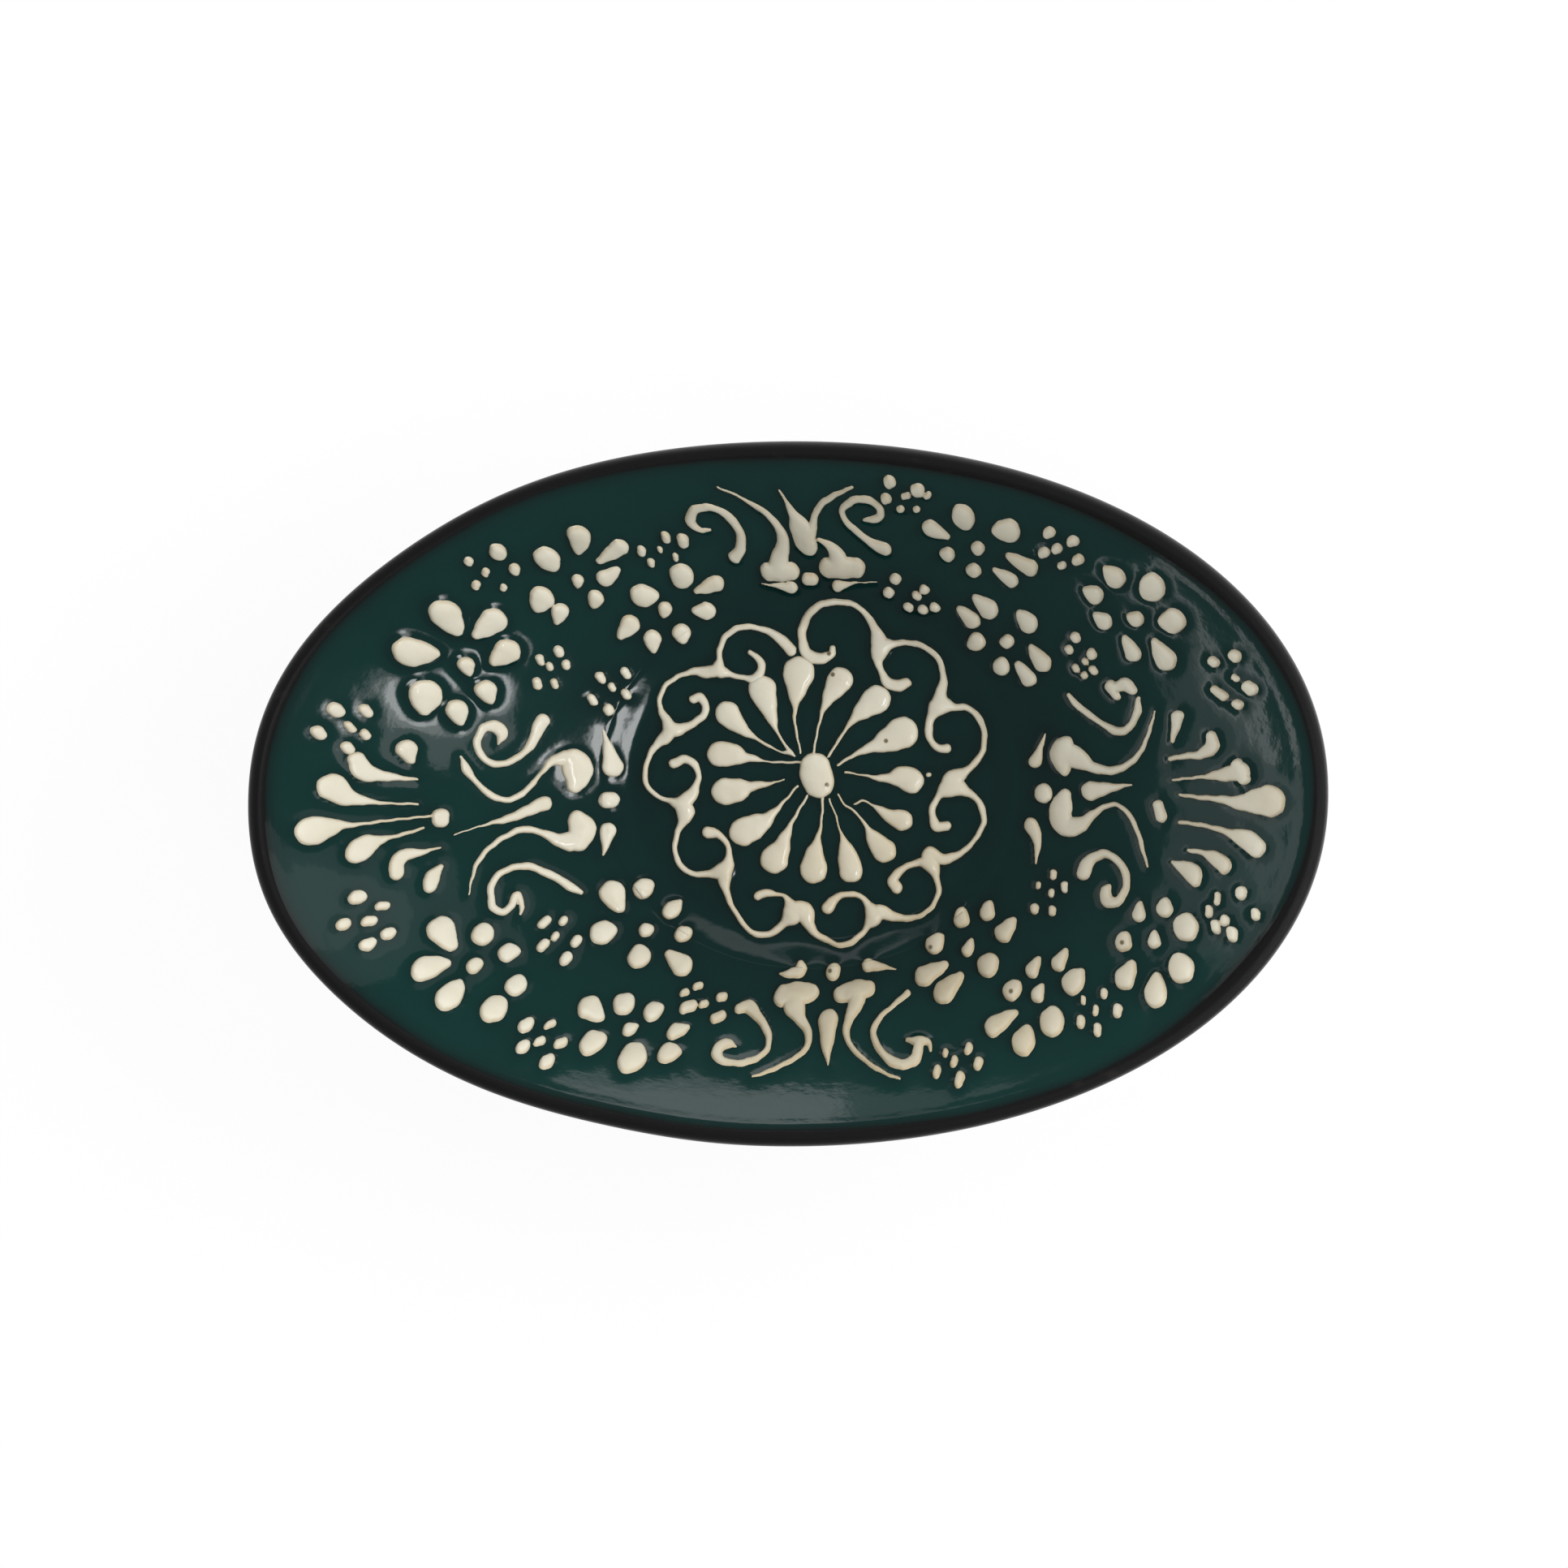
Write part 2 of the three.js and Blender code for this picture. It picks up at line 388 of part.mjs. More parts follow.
const WREATH = [
  [[-2.7, 21.2, 1.6], [-3.2, 22.2, 1.9], [-4.5, 23.3, 1.7], [-6.5, 24.6, 1.2], [-8.3, 25.2, 1.1], [-10.3, 25.5, 1.1],
    [-12.1, 24.9, 1.1], [-13.5, 23.8, 1.1], [-14.4, 22.0, 1.1], [-14.6, 20.0, 1.3], [-14.7, 18.5, 2.2],
    [-12.9, 17.8, 1.2], [-10.6, 17.2, 1.0], [-8.8, 17.1, 1.4], [-7.7, 18.1, 1.4], [-7.7, 19.4, 1.3], [-8.5, 20.5, 1.2],
    [-9.5, 21.2, 1.0]],
  [[-14.7, 18.5, 2.2], [-16.5, 18.1, 2.0], [-18.3, 18.3, 1.5], [-20.1, 17.9, 1.0], [-22.1, 17.1, 1.0],
    [-23.7, 15.7, 1.0], [-24.5, 13.8, 1.0], [-24.3, 12.0, 1.1], [-23.4, 10.4, 1.6], [-22.6, 8.9, 2.7],
    [-20.8, 9.0, 1.7], [-18.7, 10.0, 1.3], [-17.2, 11.2, 1.3], [-17.0, 13.0, 1.4], [-18.1, 14.0, 1.6],
    [-19.5, 13.6, 1.5]],
  [[-22.6, 8.9, 2.7], [-23.5, 7.7, 2.2], [-24.9, 6.6, 1.5], [-26.1, 5.1, 1.1], [-26.8, 3.2, 1.0], [-27.1, 1.4, 1.0],
    [-26.7, -0.4, 1.0], [-25.5, -1.7, 1.0], [-23.0, -2.8, 1.1], [-21.2, -3.2, 2.4], [-19.6, -1.8, 2.1],
    [-18.6, -0.1, 1.2], [-18.3, 1.6, 1.1], [-18.9, 3.1, 1.3], [-20.4, 3.9, 1.6], [-22.5, 3.3, 1.9]],
  [[-21.0, -3.2, 2.6], [-20.5, -4.5, 2.8], [-21.0, -6.0, 1.7], [-21.9, -7.8, 1.1], [-22.3, -9.5, 1.0],
    [-22.2, -11.5, 1.0], [-21.5, -13.2, 1.0], [-20.0, -14.4, 1.1], [-18.2, -14.7, 1.1], [-16.2, -14.5, 1.6],
    [-14.3, -14.0, 2.8], [-13.5, -12.3, 1.5], [-13.5, -10.5, 1.0], [-14.3, -9.1, 1.2], [-15.6, -8.1, 1.5],
    [-17.6, -7.9, 2.4]],
  [[-14.3, -14.0, 2.8], [-14.3, -15.8, 2.0], [-14.0, -17.6, 1.3], [-13.4, -19.4, 1.0], [-12.4, -21.2, 1.0],
    [-11.2, -23.0, 1.0], [-9.8, -24.2, 1.1], [-8.1, -24.7, 1.2], [-6.3, -24.1, 1.3], [-4.6, -22.7, 1.5],
    [-3.0, -21.2, 3.2], [-3.7, -19.4, 1.6], [-4.7, -18.3, 0.9], [-5.9, -18.1, 0.9], [-7.4, -17.8, 1.4],
    [-9.3, -18.3, 1.7]],
  [[-3.0, -21.2, 3.2], [-1.6, -20.8, 3.2], [-0.5, -23.0, 2.0], [0.3, -24.3, 1.4], [2.2, -25.5, 1.1],
    [4.1, -26.3, 1.0], [5.7, -26.3, 1.1], [7.4, -25.2, 1.2], [8.9, -23.5, 1.2], [10.0, -21.6, 2.8], [9.2, -19.9, 1.4],
    [8.1, -18.7, 1.1], [6.4, -18.1, 1.1], [4.8, -18.3, 1.2], [3.3, -19.3, 1.6], [2.5, -21.2, 2.3]],
  [[10.0, -21.6, 2.8], [11.1, -21.1, 2.6], [12.8, -21.7, 1.7], [15.2, -22.1, 1.3], [17.4, -21.8, 1.0],
    [19.0, -20.8, 1.0], [20.2, -19.1, 1.0], [20.6, -17.2, 1.1], [20.2, -15.3, 1.2], [19.4, -13.4, 2.6],
    [17.6, -13.0, 1.4], [15.7, -13.6, 1.2], [14.1, -14.6, 1.4], [13.2, -16.1, 1.8], [14.2, -17.8, 2.1]],
  [[19.4, -13.4, 2.6], [19.2, -11.7, 2.2], [21.3, -12.5, 1.9], [23.7, -11.9, 1.3], [25.6, -10.5, 1.0],
    [27.1, -8.6, 1.0], [28.1, -6.5, 1.1], [27.9, -4.5, 1.2], [26.9, -2.8, 1.2], [25.3, -1.6, 1.6], [23.0, -0.7, 3.4],
    [21.0, -2.2, 1.3], [19.9, -3.9, 1.2], [19.8, -5.6, 1.3], [20.6, -7.2, 1.7], [22.9, -7.1, 1.8]],
  [[23.0, -0.7, 3.4], [23.3, 0.3, 3.2], [25.1, 1.5, 1.5], [26.8, 2.9, 1.2], [28.0, 4.7, 1.1], [28.4, 6.9, 1.1],
    [28.1, 9.0, 1.2], [27.1, 10.8, 1.2], [25.4, 11.9, 1.2], [23.4, 12.0, 1.4], [21.2, 12.3, 3.0], [19.8, 10.3, 1.5],
    [19.3, 8.3, 1.4], [19.7, 6.6, 1.2], [20.9, 5.4, 1.4], [23.1, 5.4, 1.6]],
  [[21.2, 12.3, 3.0], [21.3, 13.8, 2.2], [21.8, 15.7, 1.5], [21.7, 18.1, 1.1], [21.0, 20.2, 1.1], [19.6, 21.5, 1.1],
    [17.7, 22.3, 1.1], [15.8, 22.5, 1.1], [13.8, 22.3, 1.4], [11.8, 21.7, 3.0], [11.4, 19.5, 1.5], [11.9, 17.6, 1.2],
    [12.9, 16.0, 1.7], [14.7, 15.6, 2.0], [16.8, 16.4, 1.7]],
  [[11.8, 21.7, 3.0], [11.4, 23.5, 2.2], [10.9, 25.0, 1.5], [10.2, 26.5, 1.2], [9.1, 27.9, 1.1], [7.4, 29.0, 1.1],
    [5.2, 29.3, 1.2], [3.1, 29.1, 1.2], [1.1, 28.1, 1.3], [-0.1, 26.7, 1.4], [-0.9, 24.9, 1.5], [-0.9, 22.9, 1.5],
    [-0.3, 21.0, 1.8], [1.0, 20.2, 2.0], [2.5, 20.3, 1.8], [3.8, 20.9, 1.3], [4.1, 22.4, 1.2]],
];

const TULIPS = [
  [
    [[0.7, 33.2, 1.8], [1.3, 33.2, 2.2], [1.9, 33.2, 1.8]],
    [[-6.9, 32.5, 0.5], [-5.0, 32.4, 0.8], [-3.4, 32.1, 1.6], [-1.7, 31.9, 2.1], [-0.9, 31.9, 1.2]],
    [[12.0, 32.5, 0.4], [8.6, 32.4, 0.7], [7.2, 32.3, 1.3], [5.5, 32.0, 2.0], [4.6, 31.9, 1.2]],
    [[-10.1, 47.7, 0.5], [-7.7, 46.6, 0.7], [-5.4, 45.0, 0.9], [-3.6, 43.5, 1.1], [-2.4, 41.6, 1.5], [-2.0, 39.6, 1.9],
      [-2.7, 37.4, 2.4], [-3.4, 35.2, 4.0]],
    [[-6.7, 34.9, 1.6], [-5.3, 35.0, 3.0], [-3.4, 35.1, 3.9], [-1.5, 35.0, 3.0], [-0.2, 34.9, 1.6]],
    [[-0.7, 47.0, 0.6], [0.0, 44.9, 0.9], [0.6, 43.2, 1.8], [1.3, 41.2, 3.2], [1.6, 39.1, 3.4], [1.9, 37.4, 2.6]],
    [[10.9, 47.4, 0.6], [8.2, 46.5, 0.9], [5.8, 45.3, 1.1], [4.2, 43.8, 1.1], [3.4, 42.1, 1.4], [2.4, 40.0, 2.0]],
    [[2.0, 40.6, 1.4], [4.0, 39.7, 1.1], [5.1, 38.6, 1.3], [6.2, 36.9, 3.0], [6.4, 35.4, 4.2]],
    [[2.9, 35.0, 1.5], [4.6, 35.2, 2.9], [6.7, 35.2, 3.9], [9.0, 35.0, 3.2], [10.6, 34.8, 1.6]],
  ],
  [
    [[3.6, -31.3, 1.9], [3.6, -30.5, 2.6], [3.7, -29.5, 1.9]],
    [[-1.8, -28.7, 1.0], [-1.7, -30.0, 2.1], [-3.2, -30.7, 1.7], [-5.1, -30.8, 0.8]],
    [[8.3, -29.5, 1.4], [9.4, -29.4, 2.2], [11.2, -29.6, 1.6], [14.1, -30.0, 0.6]],
    [[-4.9, -34.2, 2.2], [-3.4, -34.0, 3.6], [-1.3, -33.7, 3.3], [0.6, -33.6, 2.7], [1.7, -33.5, 1.8]],
    [[-2.6, -34.8, 3.8], [-2.0, -36.2, 3.0], [-0.8, -37.6, 1.8], [0.6, -39.2, 1.3], [1.0, -40.7, 1.2], [0.1, -42.3, 1.0],
      [-1.9, -43.4, 0.9], [-4.4, -44.5, 0.8], [-6.9, -45.2, 0.5]],
    [[4.0, -34.1, 1.5], [5.5, -33.7, 2.6], [7.9, -33.3, 3.5], [9.8, -33.0, 2.8], [11.0, -32.7, 1.8]],
    [[8.2, -34.0, 3.4], [8.1, -35.2, 2.6], [7.3, -36.9, 1.7], [6.8, -38.8, 1.3], [7.4, -40.4, 1.1], [8.8, -41.9, 0.9],
      [11.0, -43.3, 0.8], [13.5, -44.5, 0.7], [16.6, -45.3, 0.5]],
    [[3.6, -36.3, 2.9], [3.7, -37.2, 3.3], [3.9, -39.4, 2.5], [4.2, -41.6, 1.6], [4.7, -43.8, 0.5]],
  ],
  [
    [[-33.5, -2.3, 2.2], [-32.8, -2.3, 2.8], [-32.0, -2.4, 2.2]],
    [[-33.4, 9.1, 0.7], [-33.0, 6.8, 1.6], [-32.3, 3.4, 3.1], [-32.1, 2.2, 2.6]],
    [[-33.0, -6.3, 1.8], [-32.9, -7.4, 2.5], [-33.3, -9.4, 1.6], [-33.7, -11.5, 0.5]],
    [[-54.7, 5.3, 0.8], [-54.0, 3.4, 1.4], [-52.9, 1.6, 1.1], [-51.2, -0.3, 1.1], [-49.6, -1.5, 1.1], [-48.0, -1.8, 1.1],
      [-45.7, -0.8, 1.0], [-44.3, 0.7, 0.9], [-42.6, 2.7, 1.0], [-41.2, 4.2, 1.6], [-39.4, 4.7, 2.6], [-37.6, 3.6, 4.6]],
    [[-37.8, 5.9, 2.4], [-37.4, 3.6, 4.7], [-37.5, 1.4, 4.2], [-37.9, -0.9, 2.2]],
    [[-53.5, -16.6, 0.5], [-53.2, -14.4, 0.6], [-52.4, -11.6, 0.9], [-50.3, -9.0, 1.0], [-47.6, -7.2, 1.1],
      [-45.4, -6.7, 1.2], [-43.6, -7.0, 1.3], [-41.6, -7.7, 1.7], [-39.6, -8.4, 2.8], [-37.6, -8.6, 4.2]],
    [[-37.6, -4.2, 2.4], [-36.9, -5.8, 3.6], [-36.8, -7.6, 4.2], [-37.3, -9.6, 3.4], [-37.2, -10.4, 2.0]],
    [[-55.9, -7.0, 0.5], [-52.5, -6.0, 0.6], [-49.9, -5.3, 0.9], [-48.3, -4.9, 1.3], [-45.8, -4.0, 1.7], [-44.0, -3.2, 2.1],
      [-42.3, -2.4, 2.5], [-41.3, -2.2, 1.7]],
  ],
  [
    [[37.6, -1.8, 2.2], [38.2, -1.8, 2.9], [38.9, -1.8, 2.2]],
    [[36.9, 2.2, 1.5], [36.8, 3.4, 2.2], [37.7, 5.3, 1.3], [38.7, 8.0, 0.5]],
    [[35.8, -5.8, 1.5], [36.1, -6.8, 2.3], [36.9, -8.7, 1.8], [37.1, -10.8, 1.2], [36.8, -13.1, 0.5]],
    [[42.0, 7.2, 1.8], [41.6, 5.6, 4.0], [41.6, 3.8, 3.8], [41.7, 2.2, 2.6], [41.8, 1.0, 1.5]],
    [[42.2, 4.8, 4.0], [44.0, 3.8, 3.0], [45.9, 2.7, 1.9], [47.7, 2.1, 1.6], [49.9, 2.0, 1.4], [52.1, 3.0, 1.2],
      [54.0, 4.7, 1.0], [55.3, 7.1, 0.8], [56.2, 9.6, 0.7], [56.8, 11.6, 0.5]],
    [[41.8, -1.1, 1.5], [41.4, -3.2, 3.2], [41.2, -5.4, 4.2], [42.0, -7.3, 3.6], [43.6, -6.9, 2.9], [45.1, -6.1, 2.0],
      [46.3, -5.1, 1.4], [47.3, -4.4, 1.2], [48.6, -3.6, 1.0], [49.9, -3.3, 0.9], [51.4, -4.0, 1.0], [52.7, -5.5, 0.9],
      [53.7, -7.7, 0.9], [54.6, -10.7, 0.8], [55.3, -12.9, 0.5]],
    [[44.6, -1.2, 2.0], [45.7, -1.3, 3.2], [47.3, -1.0, 2.6], [48.9, -0.7, 1.8], [52.7, -0.1, 0.6]],
  ],
];

const SCROLLS = [
  [[[-13.1, 41.2, 0.8], [-14.6, 41.3, 1.2], [-16.0, 42.6, 1.7], [-14.9, 44.2, 1.5], [-12.9, 44.7, 1.3],
    [-10.8, 44.2, 1.2], [-9.3, 42.6, 1.3], [-8.6, 40.2, 1.5], [-9.2, 38.0, 1.8], [-10.7, 36.4, 2.0]]],
  [[[14.9, 37.4, 2.0], [13.0, 38.3, 1.8], [11.3, 39.5, 1.3], [9.7, 41.0, 1.1], [8.5, 42.5, 1.1], [8.4, 43.9, 1.1],
    [9.8, 45.2, 1.2], [11.8, 45.6, 1.2], [13.6, 45.1, 1.2], [14.6, 43.9, 1.3], [14.2, 43.0, 1.3], [13.0, 42.5, 1.2],
    [11.6, 42.4, 0.7]]],
  [[[42.7, 14.1, 0.9], [43.7, 12.7, 1.2], [45.4, 11.4, 1.1], [47.0, 10.2, 1.1], [48.9, 9.1, 1.2], [50.5, 8.3, 1.5],
    [52.0, 8.6, 1.4], [53.2, 9.9, 1.2], [54.0, 11.6, 1.4], [54.2, 13.8, 0.9]],
    [[50.7, 13.4, 1.5], [50.2, 14.8, 2.0], [49.6, 16.4, 2.0]],
    [[50.2, 15.4, 2.0], [51.2, 15.8, 1.9], [52.4, 16.2, 2.3], [53.4, 14.9, 1.9]]],
  [[[44.7, -15.3, 2.0], [45.2, -13.2, 2.2], [46.5, -11.8, 1.7], [48.3, -11.2, 1.5], [49.9, -11.8, 1.4], [51.1, -13.0, 1.3],
    [51.9, -14.8, 1.3], [51.6, -16.9, 1.3], [50.6, -18.3, 1.5], [48.9, -18.5, 2.3], [48.5, -17.2, 2.0],
    [49.1, -15.8, 1.1]]],
  [[[-49.2, 7.1, 0.7], [-48.7, 8.8, 2.0], [-49.5, 10.1, 2.0], [-50.9, 10.0, 1.5], [-52.0, 8.6, 1.3], [-52.3, 7.2, 1.3],
    [-51.5, 5.2, 1.2], [-49.7, 4.1, 1.2], [-47.5, 4.4, 1.2], [-45.6, 5.6, 1.3], [-44.3, 7.0, 1.5], [-43.3, 9.2, 2.0],
    [-42.1, 11.9, 2.3]]],
  [[[-37.0, -17.1, 1.1], [-38.4, -16.2, 1.4], [-40.3, -14.9, 1.4], [-42.4, -13.7, 1.3], [-45.0, -12.6, 1.3],
    [-47.1, -12.7, 1.2], [-49.1, -13.6, 1.2], [-50.1, -14.9, 1.2], [-50.3, -17.0, 1.2], [-49.8, -18.9, 1.2],
    [-48.4, -19.6, 1.3], [-47.3, -18.7, 1.4], [-46.5, -17.0, 1.6], [-45.7, -18.8, 1.1], [-45.9, -20.0, 0.7]]],
  [[[-11.3, -35.9, 1.5], [-9.7, -35.3, 2.0], [-7.8, -36.9, 1.7], [-6.1, -38.8, 1.4], [-5.4, -40.1, 1.2],
    [-5.5, -41.7, 1.2], [-6.6, -42.7, 1.1], [-8.5, -43.3, 1.1], [-11.0, -43.3, 1.0], [-12.8, -42.7, 1.4],
    [-13.4, -41.7, 1.9], [-12.7, -41.0, 1.7], [-11.5, -40.8, 1.3], [-10.4, -41.1, 0.7]]],
  [[[16.6, -33.2, 1.1], [14.9, -34.7, 1.1], [13.1, -36.2, 1.0], [11.7, -37.7, 1.1], [11.3, -39.3, 1.2],
    [12.1, -40.9, 1.2], [13.6, -42.3, 1.2], [15.7, -43.3, 1.5], [17.5, -43.3, 1.5], [18.8, -42.5, 1.8],
    [19.0, -41.4, 1.7], [18.4, -40.3, 1.6]],
    [[17.0, -40.2, 0.8], [18.8, -40.3, 1.4], [20.4, -40.5, 1.1], [21.0, -41.5, 0.7]]],
];

const FANS = {
  left: { focus: [-57.9, -5.2, -57.9, -2.8, 2.5], strokes: [
    [[-62.5, 8.6, 2.2], [-62.4, 7.2, 3.1], [-62.1, 5.8, 2.8], [-61.8, 4.6, 1.6]],
    [[-69.5, 6.2, 1.8], [-69.2, 5.0, 2.7], [-68.4, 3.7, 2.9], [-66.5, 3.0, 1.9], [-64.0, 2.5, 1.1], [-61.1, 2.0, 0.7]],
    [[-73.4, 2.5, 2.8], [-72.6, 1.2, 4.2], [-71.0, -0.1, 3.0], [-69.1, -0.8, 1.6], [-66.3, -1.4, 0.8],
      [-61.1, -1.9, 0.6]],
    [[-77.0, -5.6, 3.0], [-75.6, -5.2, 4.5], [-73.7, -4.9, 3.3], [-72.0, -4.7, 1.8], [-69.8, -4.7, 0.9],
      [-66.4, -4.4, 0.7], [-62.3, -4.1, 0.6], [-59.3, -3.9, 0.6]],
    [[-70.7, -8.7, 2.6], [-69.6, -8.7, 3.6], [-68.4, -8.2, 3.4], [-67.0, -7.4, 1.8], [-65.3, -7.0, 1.1], [-62.8, -6.5, 0.8],
      [-60.2, -5.8, 0.6]],
    [[-63.9, -13.3, 1.5], [-63.9, -12.2, 2.1], [-63.8, -10.9, 2.2], [-62.7, -9.9, 1.9], [-61.1, -9.7, 1.3], [-59.5, -9.4, 0.8],
      [-57.9, -9.0, 0.5]],
    [[-57.7, -11.9, 1.0], [-58.5, -13.1, 1.9], [-59.1, -14.3, 2.3], [-59.1, -16.0, 1.5]],
  ] },
  right: { focus: [57.3, -4.9, 57.1, -2.6, 1.8], strokes: [
    [[60.2, 11.9, 1.4], [60.5, 10.6, 2.0], [60.0, 8.4, 1.4], [59.4, 6.5, 0.9]],
    [[65.9, 8.4, 1.4], [66.0, 7.0, 2.2], [65.5, 5.8, 1.9], [64.0, 4.9, 1.4], [61.5, 4.6, 1.1], [59.1, 4.1, 0.8]],
    [[69.9, 4.4, 1.2], [70.4, 3.0, 2.4], [70.9, 1.8, 2.6], [71.4, 0.4, 1.3]],
    [[70.8, 2.3, 3.4], [69.3, 2.1, 2.8], [67.8, 1.8, 1.8], [65.0, 1.5, 0.9], [59.5, 0.8, 0.6]],
    [[77.0, -1.8, 3.4], [75.4, -1.9, 5.0], [72.9, -2.1, 3.9], [70.2, -2.3, 2.5], [67.3, -2.0, 1.3], [63.6, -1.8, 0.9],
      [60.7, -1.5, 0.7]],
    [[60.6, -5.7, 0.8], [63.9, -6.1, 0.9], [66.5, -6.5, 1.0], [69.1, -7.2, 1.7], [71.5, -8.0, 3.2], [72.8, -9.0, 3.6],
      [73.2, -10.6, 2.0]],
    [[62.1, -10.1, 0.8], [64.7, -10.5, 1.2], [66.6, -11.2, 2.3], [67.6, -12.2, 2.6], [67.7, -13.5, 1.3]],
    [[59.5, -12.1, 0.8], [61.2, -12.8, 2.2], [62.6, -13.7, 3.1], [63.1, -15.6, 1.6]],
  ] },
};

// The drawing is fitted to the glazed field: its farthest edges reach the band less the margin.
const everyPoint = [
  ...FLOWERS.flatMap(({ heart, petals }) => [heart, ...petals].map(([x, y, , , w]) => [x, y, w])),
  ...DOTS.flatMap(({ drops }) => drops),
  ...WREATH.flat(),
  ...ROSETTE_PETALS.flat(),
  ...TULIPS.flat(2),
  ...SCROLLS.flat(2),
  ...FANS.left.strokes.flat(),
  ...FANS.right.strokes.flat(),
];
const reachX = Math.max(...everyPoint.map(([x, , w]) => Math.abs(x) + w / 2));
const reachY = Math.max(...everyPoint.map(([, y, w]) => Math.abs(y) + w / 2));
const fitX = (lipInside.a - MARGIN) / reachX;
const fitY = (lipInside.b - MARGIN) / reachY;
const fitWidth = Math.min(fitX, fitY);
const fitted = ([x, y, w]) => [x * fitX, y * fitY, w * fitWidth];

// A point over a place on the glaze, lifted out of the glaze.
function lifted(x, y, lift) {
  const { point, up } = seat(x, y);
  return point.addScaledVector(up, GAP + lift);
}

const rise = (width) => Math.min(SLIP_RISE, SLIP_SLOPE * width);
const convex = (points) => solidFrom(new ConvexGeometry(points));
const TOP_SHARE = 0.56;
const LAYER = 0.06;
const TAIL_LAYER = 0.09;
const TAIL_RISE = 0.35;
const THREAD_WIDTH = 0.55;

// Four corners across a line of slip: two on the glaze and two on top. A line laid over another starts higher.
function across([x, y, w], [dx, dy], layer) {
  const half = w / 2;
  const top = half * TOP_SHARE;
  const base = layer * LAYER;
  return [
    lifted(x - dy * half, y + dx * half, base),
    lifted(x - dy * top, y + dx * top, base + rise(w)),
    lifted(x + dy * top, y - dx * top, base + rise(w)),
    lifted(x + dy * half, y - dx * half, base),
  ];
}

// The stations of a line that its shape needs: those that lie off the straight run between the ones kept.
function needed(stations) {
  const [start, end] = [stations[0], stations[stations.length - 1]];
  const run = new THREE.Vector2(end[0] - start[0], end[1] - start[1]);
  let worst = 0;
  let at = 0;
  stations.slice(1, -1).forEach(([x, y, w], i) => {
    const off = new THREE.Vector2(x - start[0], y - start[1]);
    const share = THREE.MathUtils.clamp(off.dot(run) / Math.max(run.lengthSq(), 1e-9), 0, 1);
    const astray = off.addScaledVector(run, -share).length();
    const wrong = Math.abs(w - THREE.MathUtils.lerp(start[2], end[2], share)) / 2;
    const miss = Math.max(astray, wrong);
    if (miss <= worst) return;
    worst = miss;
    at = i + 1;
  });
  if (worst < DRAWN_TO) return [start, end];
  return [...needed(stations.slice(0, at + 1)).slice(0, -1), ...needed(stations.slice(at))];
}

// A line of slip through the stations that its shape needs.
const line = (stations, layer = 0) => laid(needed(stations.map(fitted)), layer);

// Slip laid along a path: one convex piece between each two of its stations.
function laid(path, layer) {
  const corners = path.map((station, i) => {
    const before = path[Math.max(i - 1, 0)];
    const after = path[Math.min(i + 1, path.length - 1)];
    const [dx, dy] = [after[0] - before[0], after[1] - before[1]];
    const long = Math.hypot(dx, dy);
    return across(station, [dx / long, dy / long], layer);
  });
  return corners.slice(1).map((next, i) => convex([...corners[i], ...next]));
}

// A drop of slip: round at the head, narrowing to the tip.
function drop([headX, headY, tipX, tipY, width]) {
  const [x, y, w] = fitted([headX, headY, width]);
  const [endX, endY] = fitted([tipX, tipY, width]);
  const reach = Math.max(Math.hypot(endX - x, endY - y), (w / 2) * 1.05);
  const turn = Math.atan2(endY - y, endX - x);
  const half = w / 2;
  const top = half * TOP_SHARE;
  const low = [[-half, 0], [-half * 0.6, half * 0.8], [half * 0.3, half], [reach, half * 0.3]];
  const high = [[Math.max(reach - half * 0.5, top), 0], [-top * 0.7, top * 0.7], [top * 0.4, top]];
  const outline = (places, lift) => {
    const both = [...places, ...places.filter(([, off]) => off > 0).map(([along, off]) => [along, -off])];
    return both.map(([along, off]) =>
      lifted(
        x + along * Math.cos(turn) - off * Math.sin(turn),
        y + along * Math.sin(turn) + off * Math.cos(turn),
        lift,
      ),
    );
  };
  return convex([...outline(low, 0), ...outline(high, rise(w))]);
}

// Small drops strung on one thin line, each to the nearest still free: every drop leans the same way.
function strung(drops, lean) {
  const turn = THREE.MathUtils.degToRad(lean);
  const stations = [];
  const free = drops.map(([x, y, w]) => {
    const [dx, dy] = [Math.cos(turn) * w * 0.65, Math.sin(turn) * w * 0.65];
    return [[x - dx, y - dy, THREAD_WIDTH], [x, y, w], [x + dx, y + dy, THREAD_WIDTH]];
  });
  while (free.length) {
    const last = stations[stations.length - 1] ?? free[0][0];
    const far = (end) => Math.hypot(end[0] - last[0], end[1] - last[1]);
    const nearest = (small) => Math.min(far(small[0]), far(small[2]));
    free.sort((p, q) => nearest(p) - nearest(q));
    const next = free.shift();
    stations.push(...(far(next[0]) <= far(next[2]) ? next : next.reverse()));
  }
  return laid(stations.map(fitted), 0);
}

// One thin tail of slip, a ridge between two places.
function tail(from, to) {
  const [x, y, w] = fitted([...from, TAIL_WIDTH]);
  const [endX, endY] = fitted([...to, TAIL_WIDTH]);
  const long = Math.hypot(endX - x, endY - y);
  const [offX, offY] = [(-(endY - y) / long) * (w / 2), ((endX - x) / long) * (w / 2)];
  const section = (atX, atY) => [
    lifted(atX + offX, atY + offY, TAIL_LAYER),
    lifted(atX - offX, atY - offY, TAIL_LAYER),
    lifted(atX, atY, TAIL_LAYER + TAIL_RISE),
  ];
  return convex([...section(x, y), ...section(endX, endY)]);
}

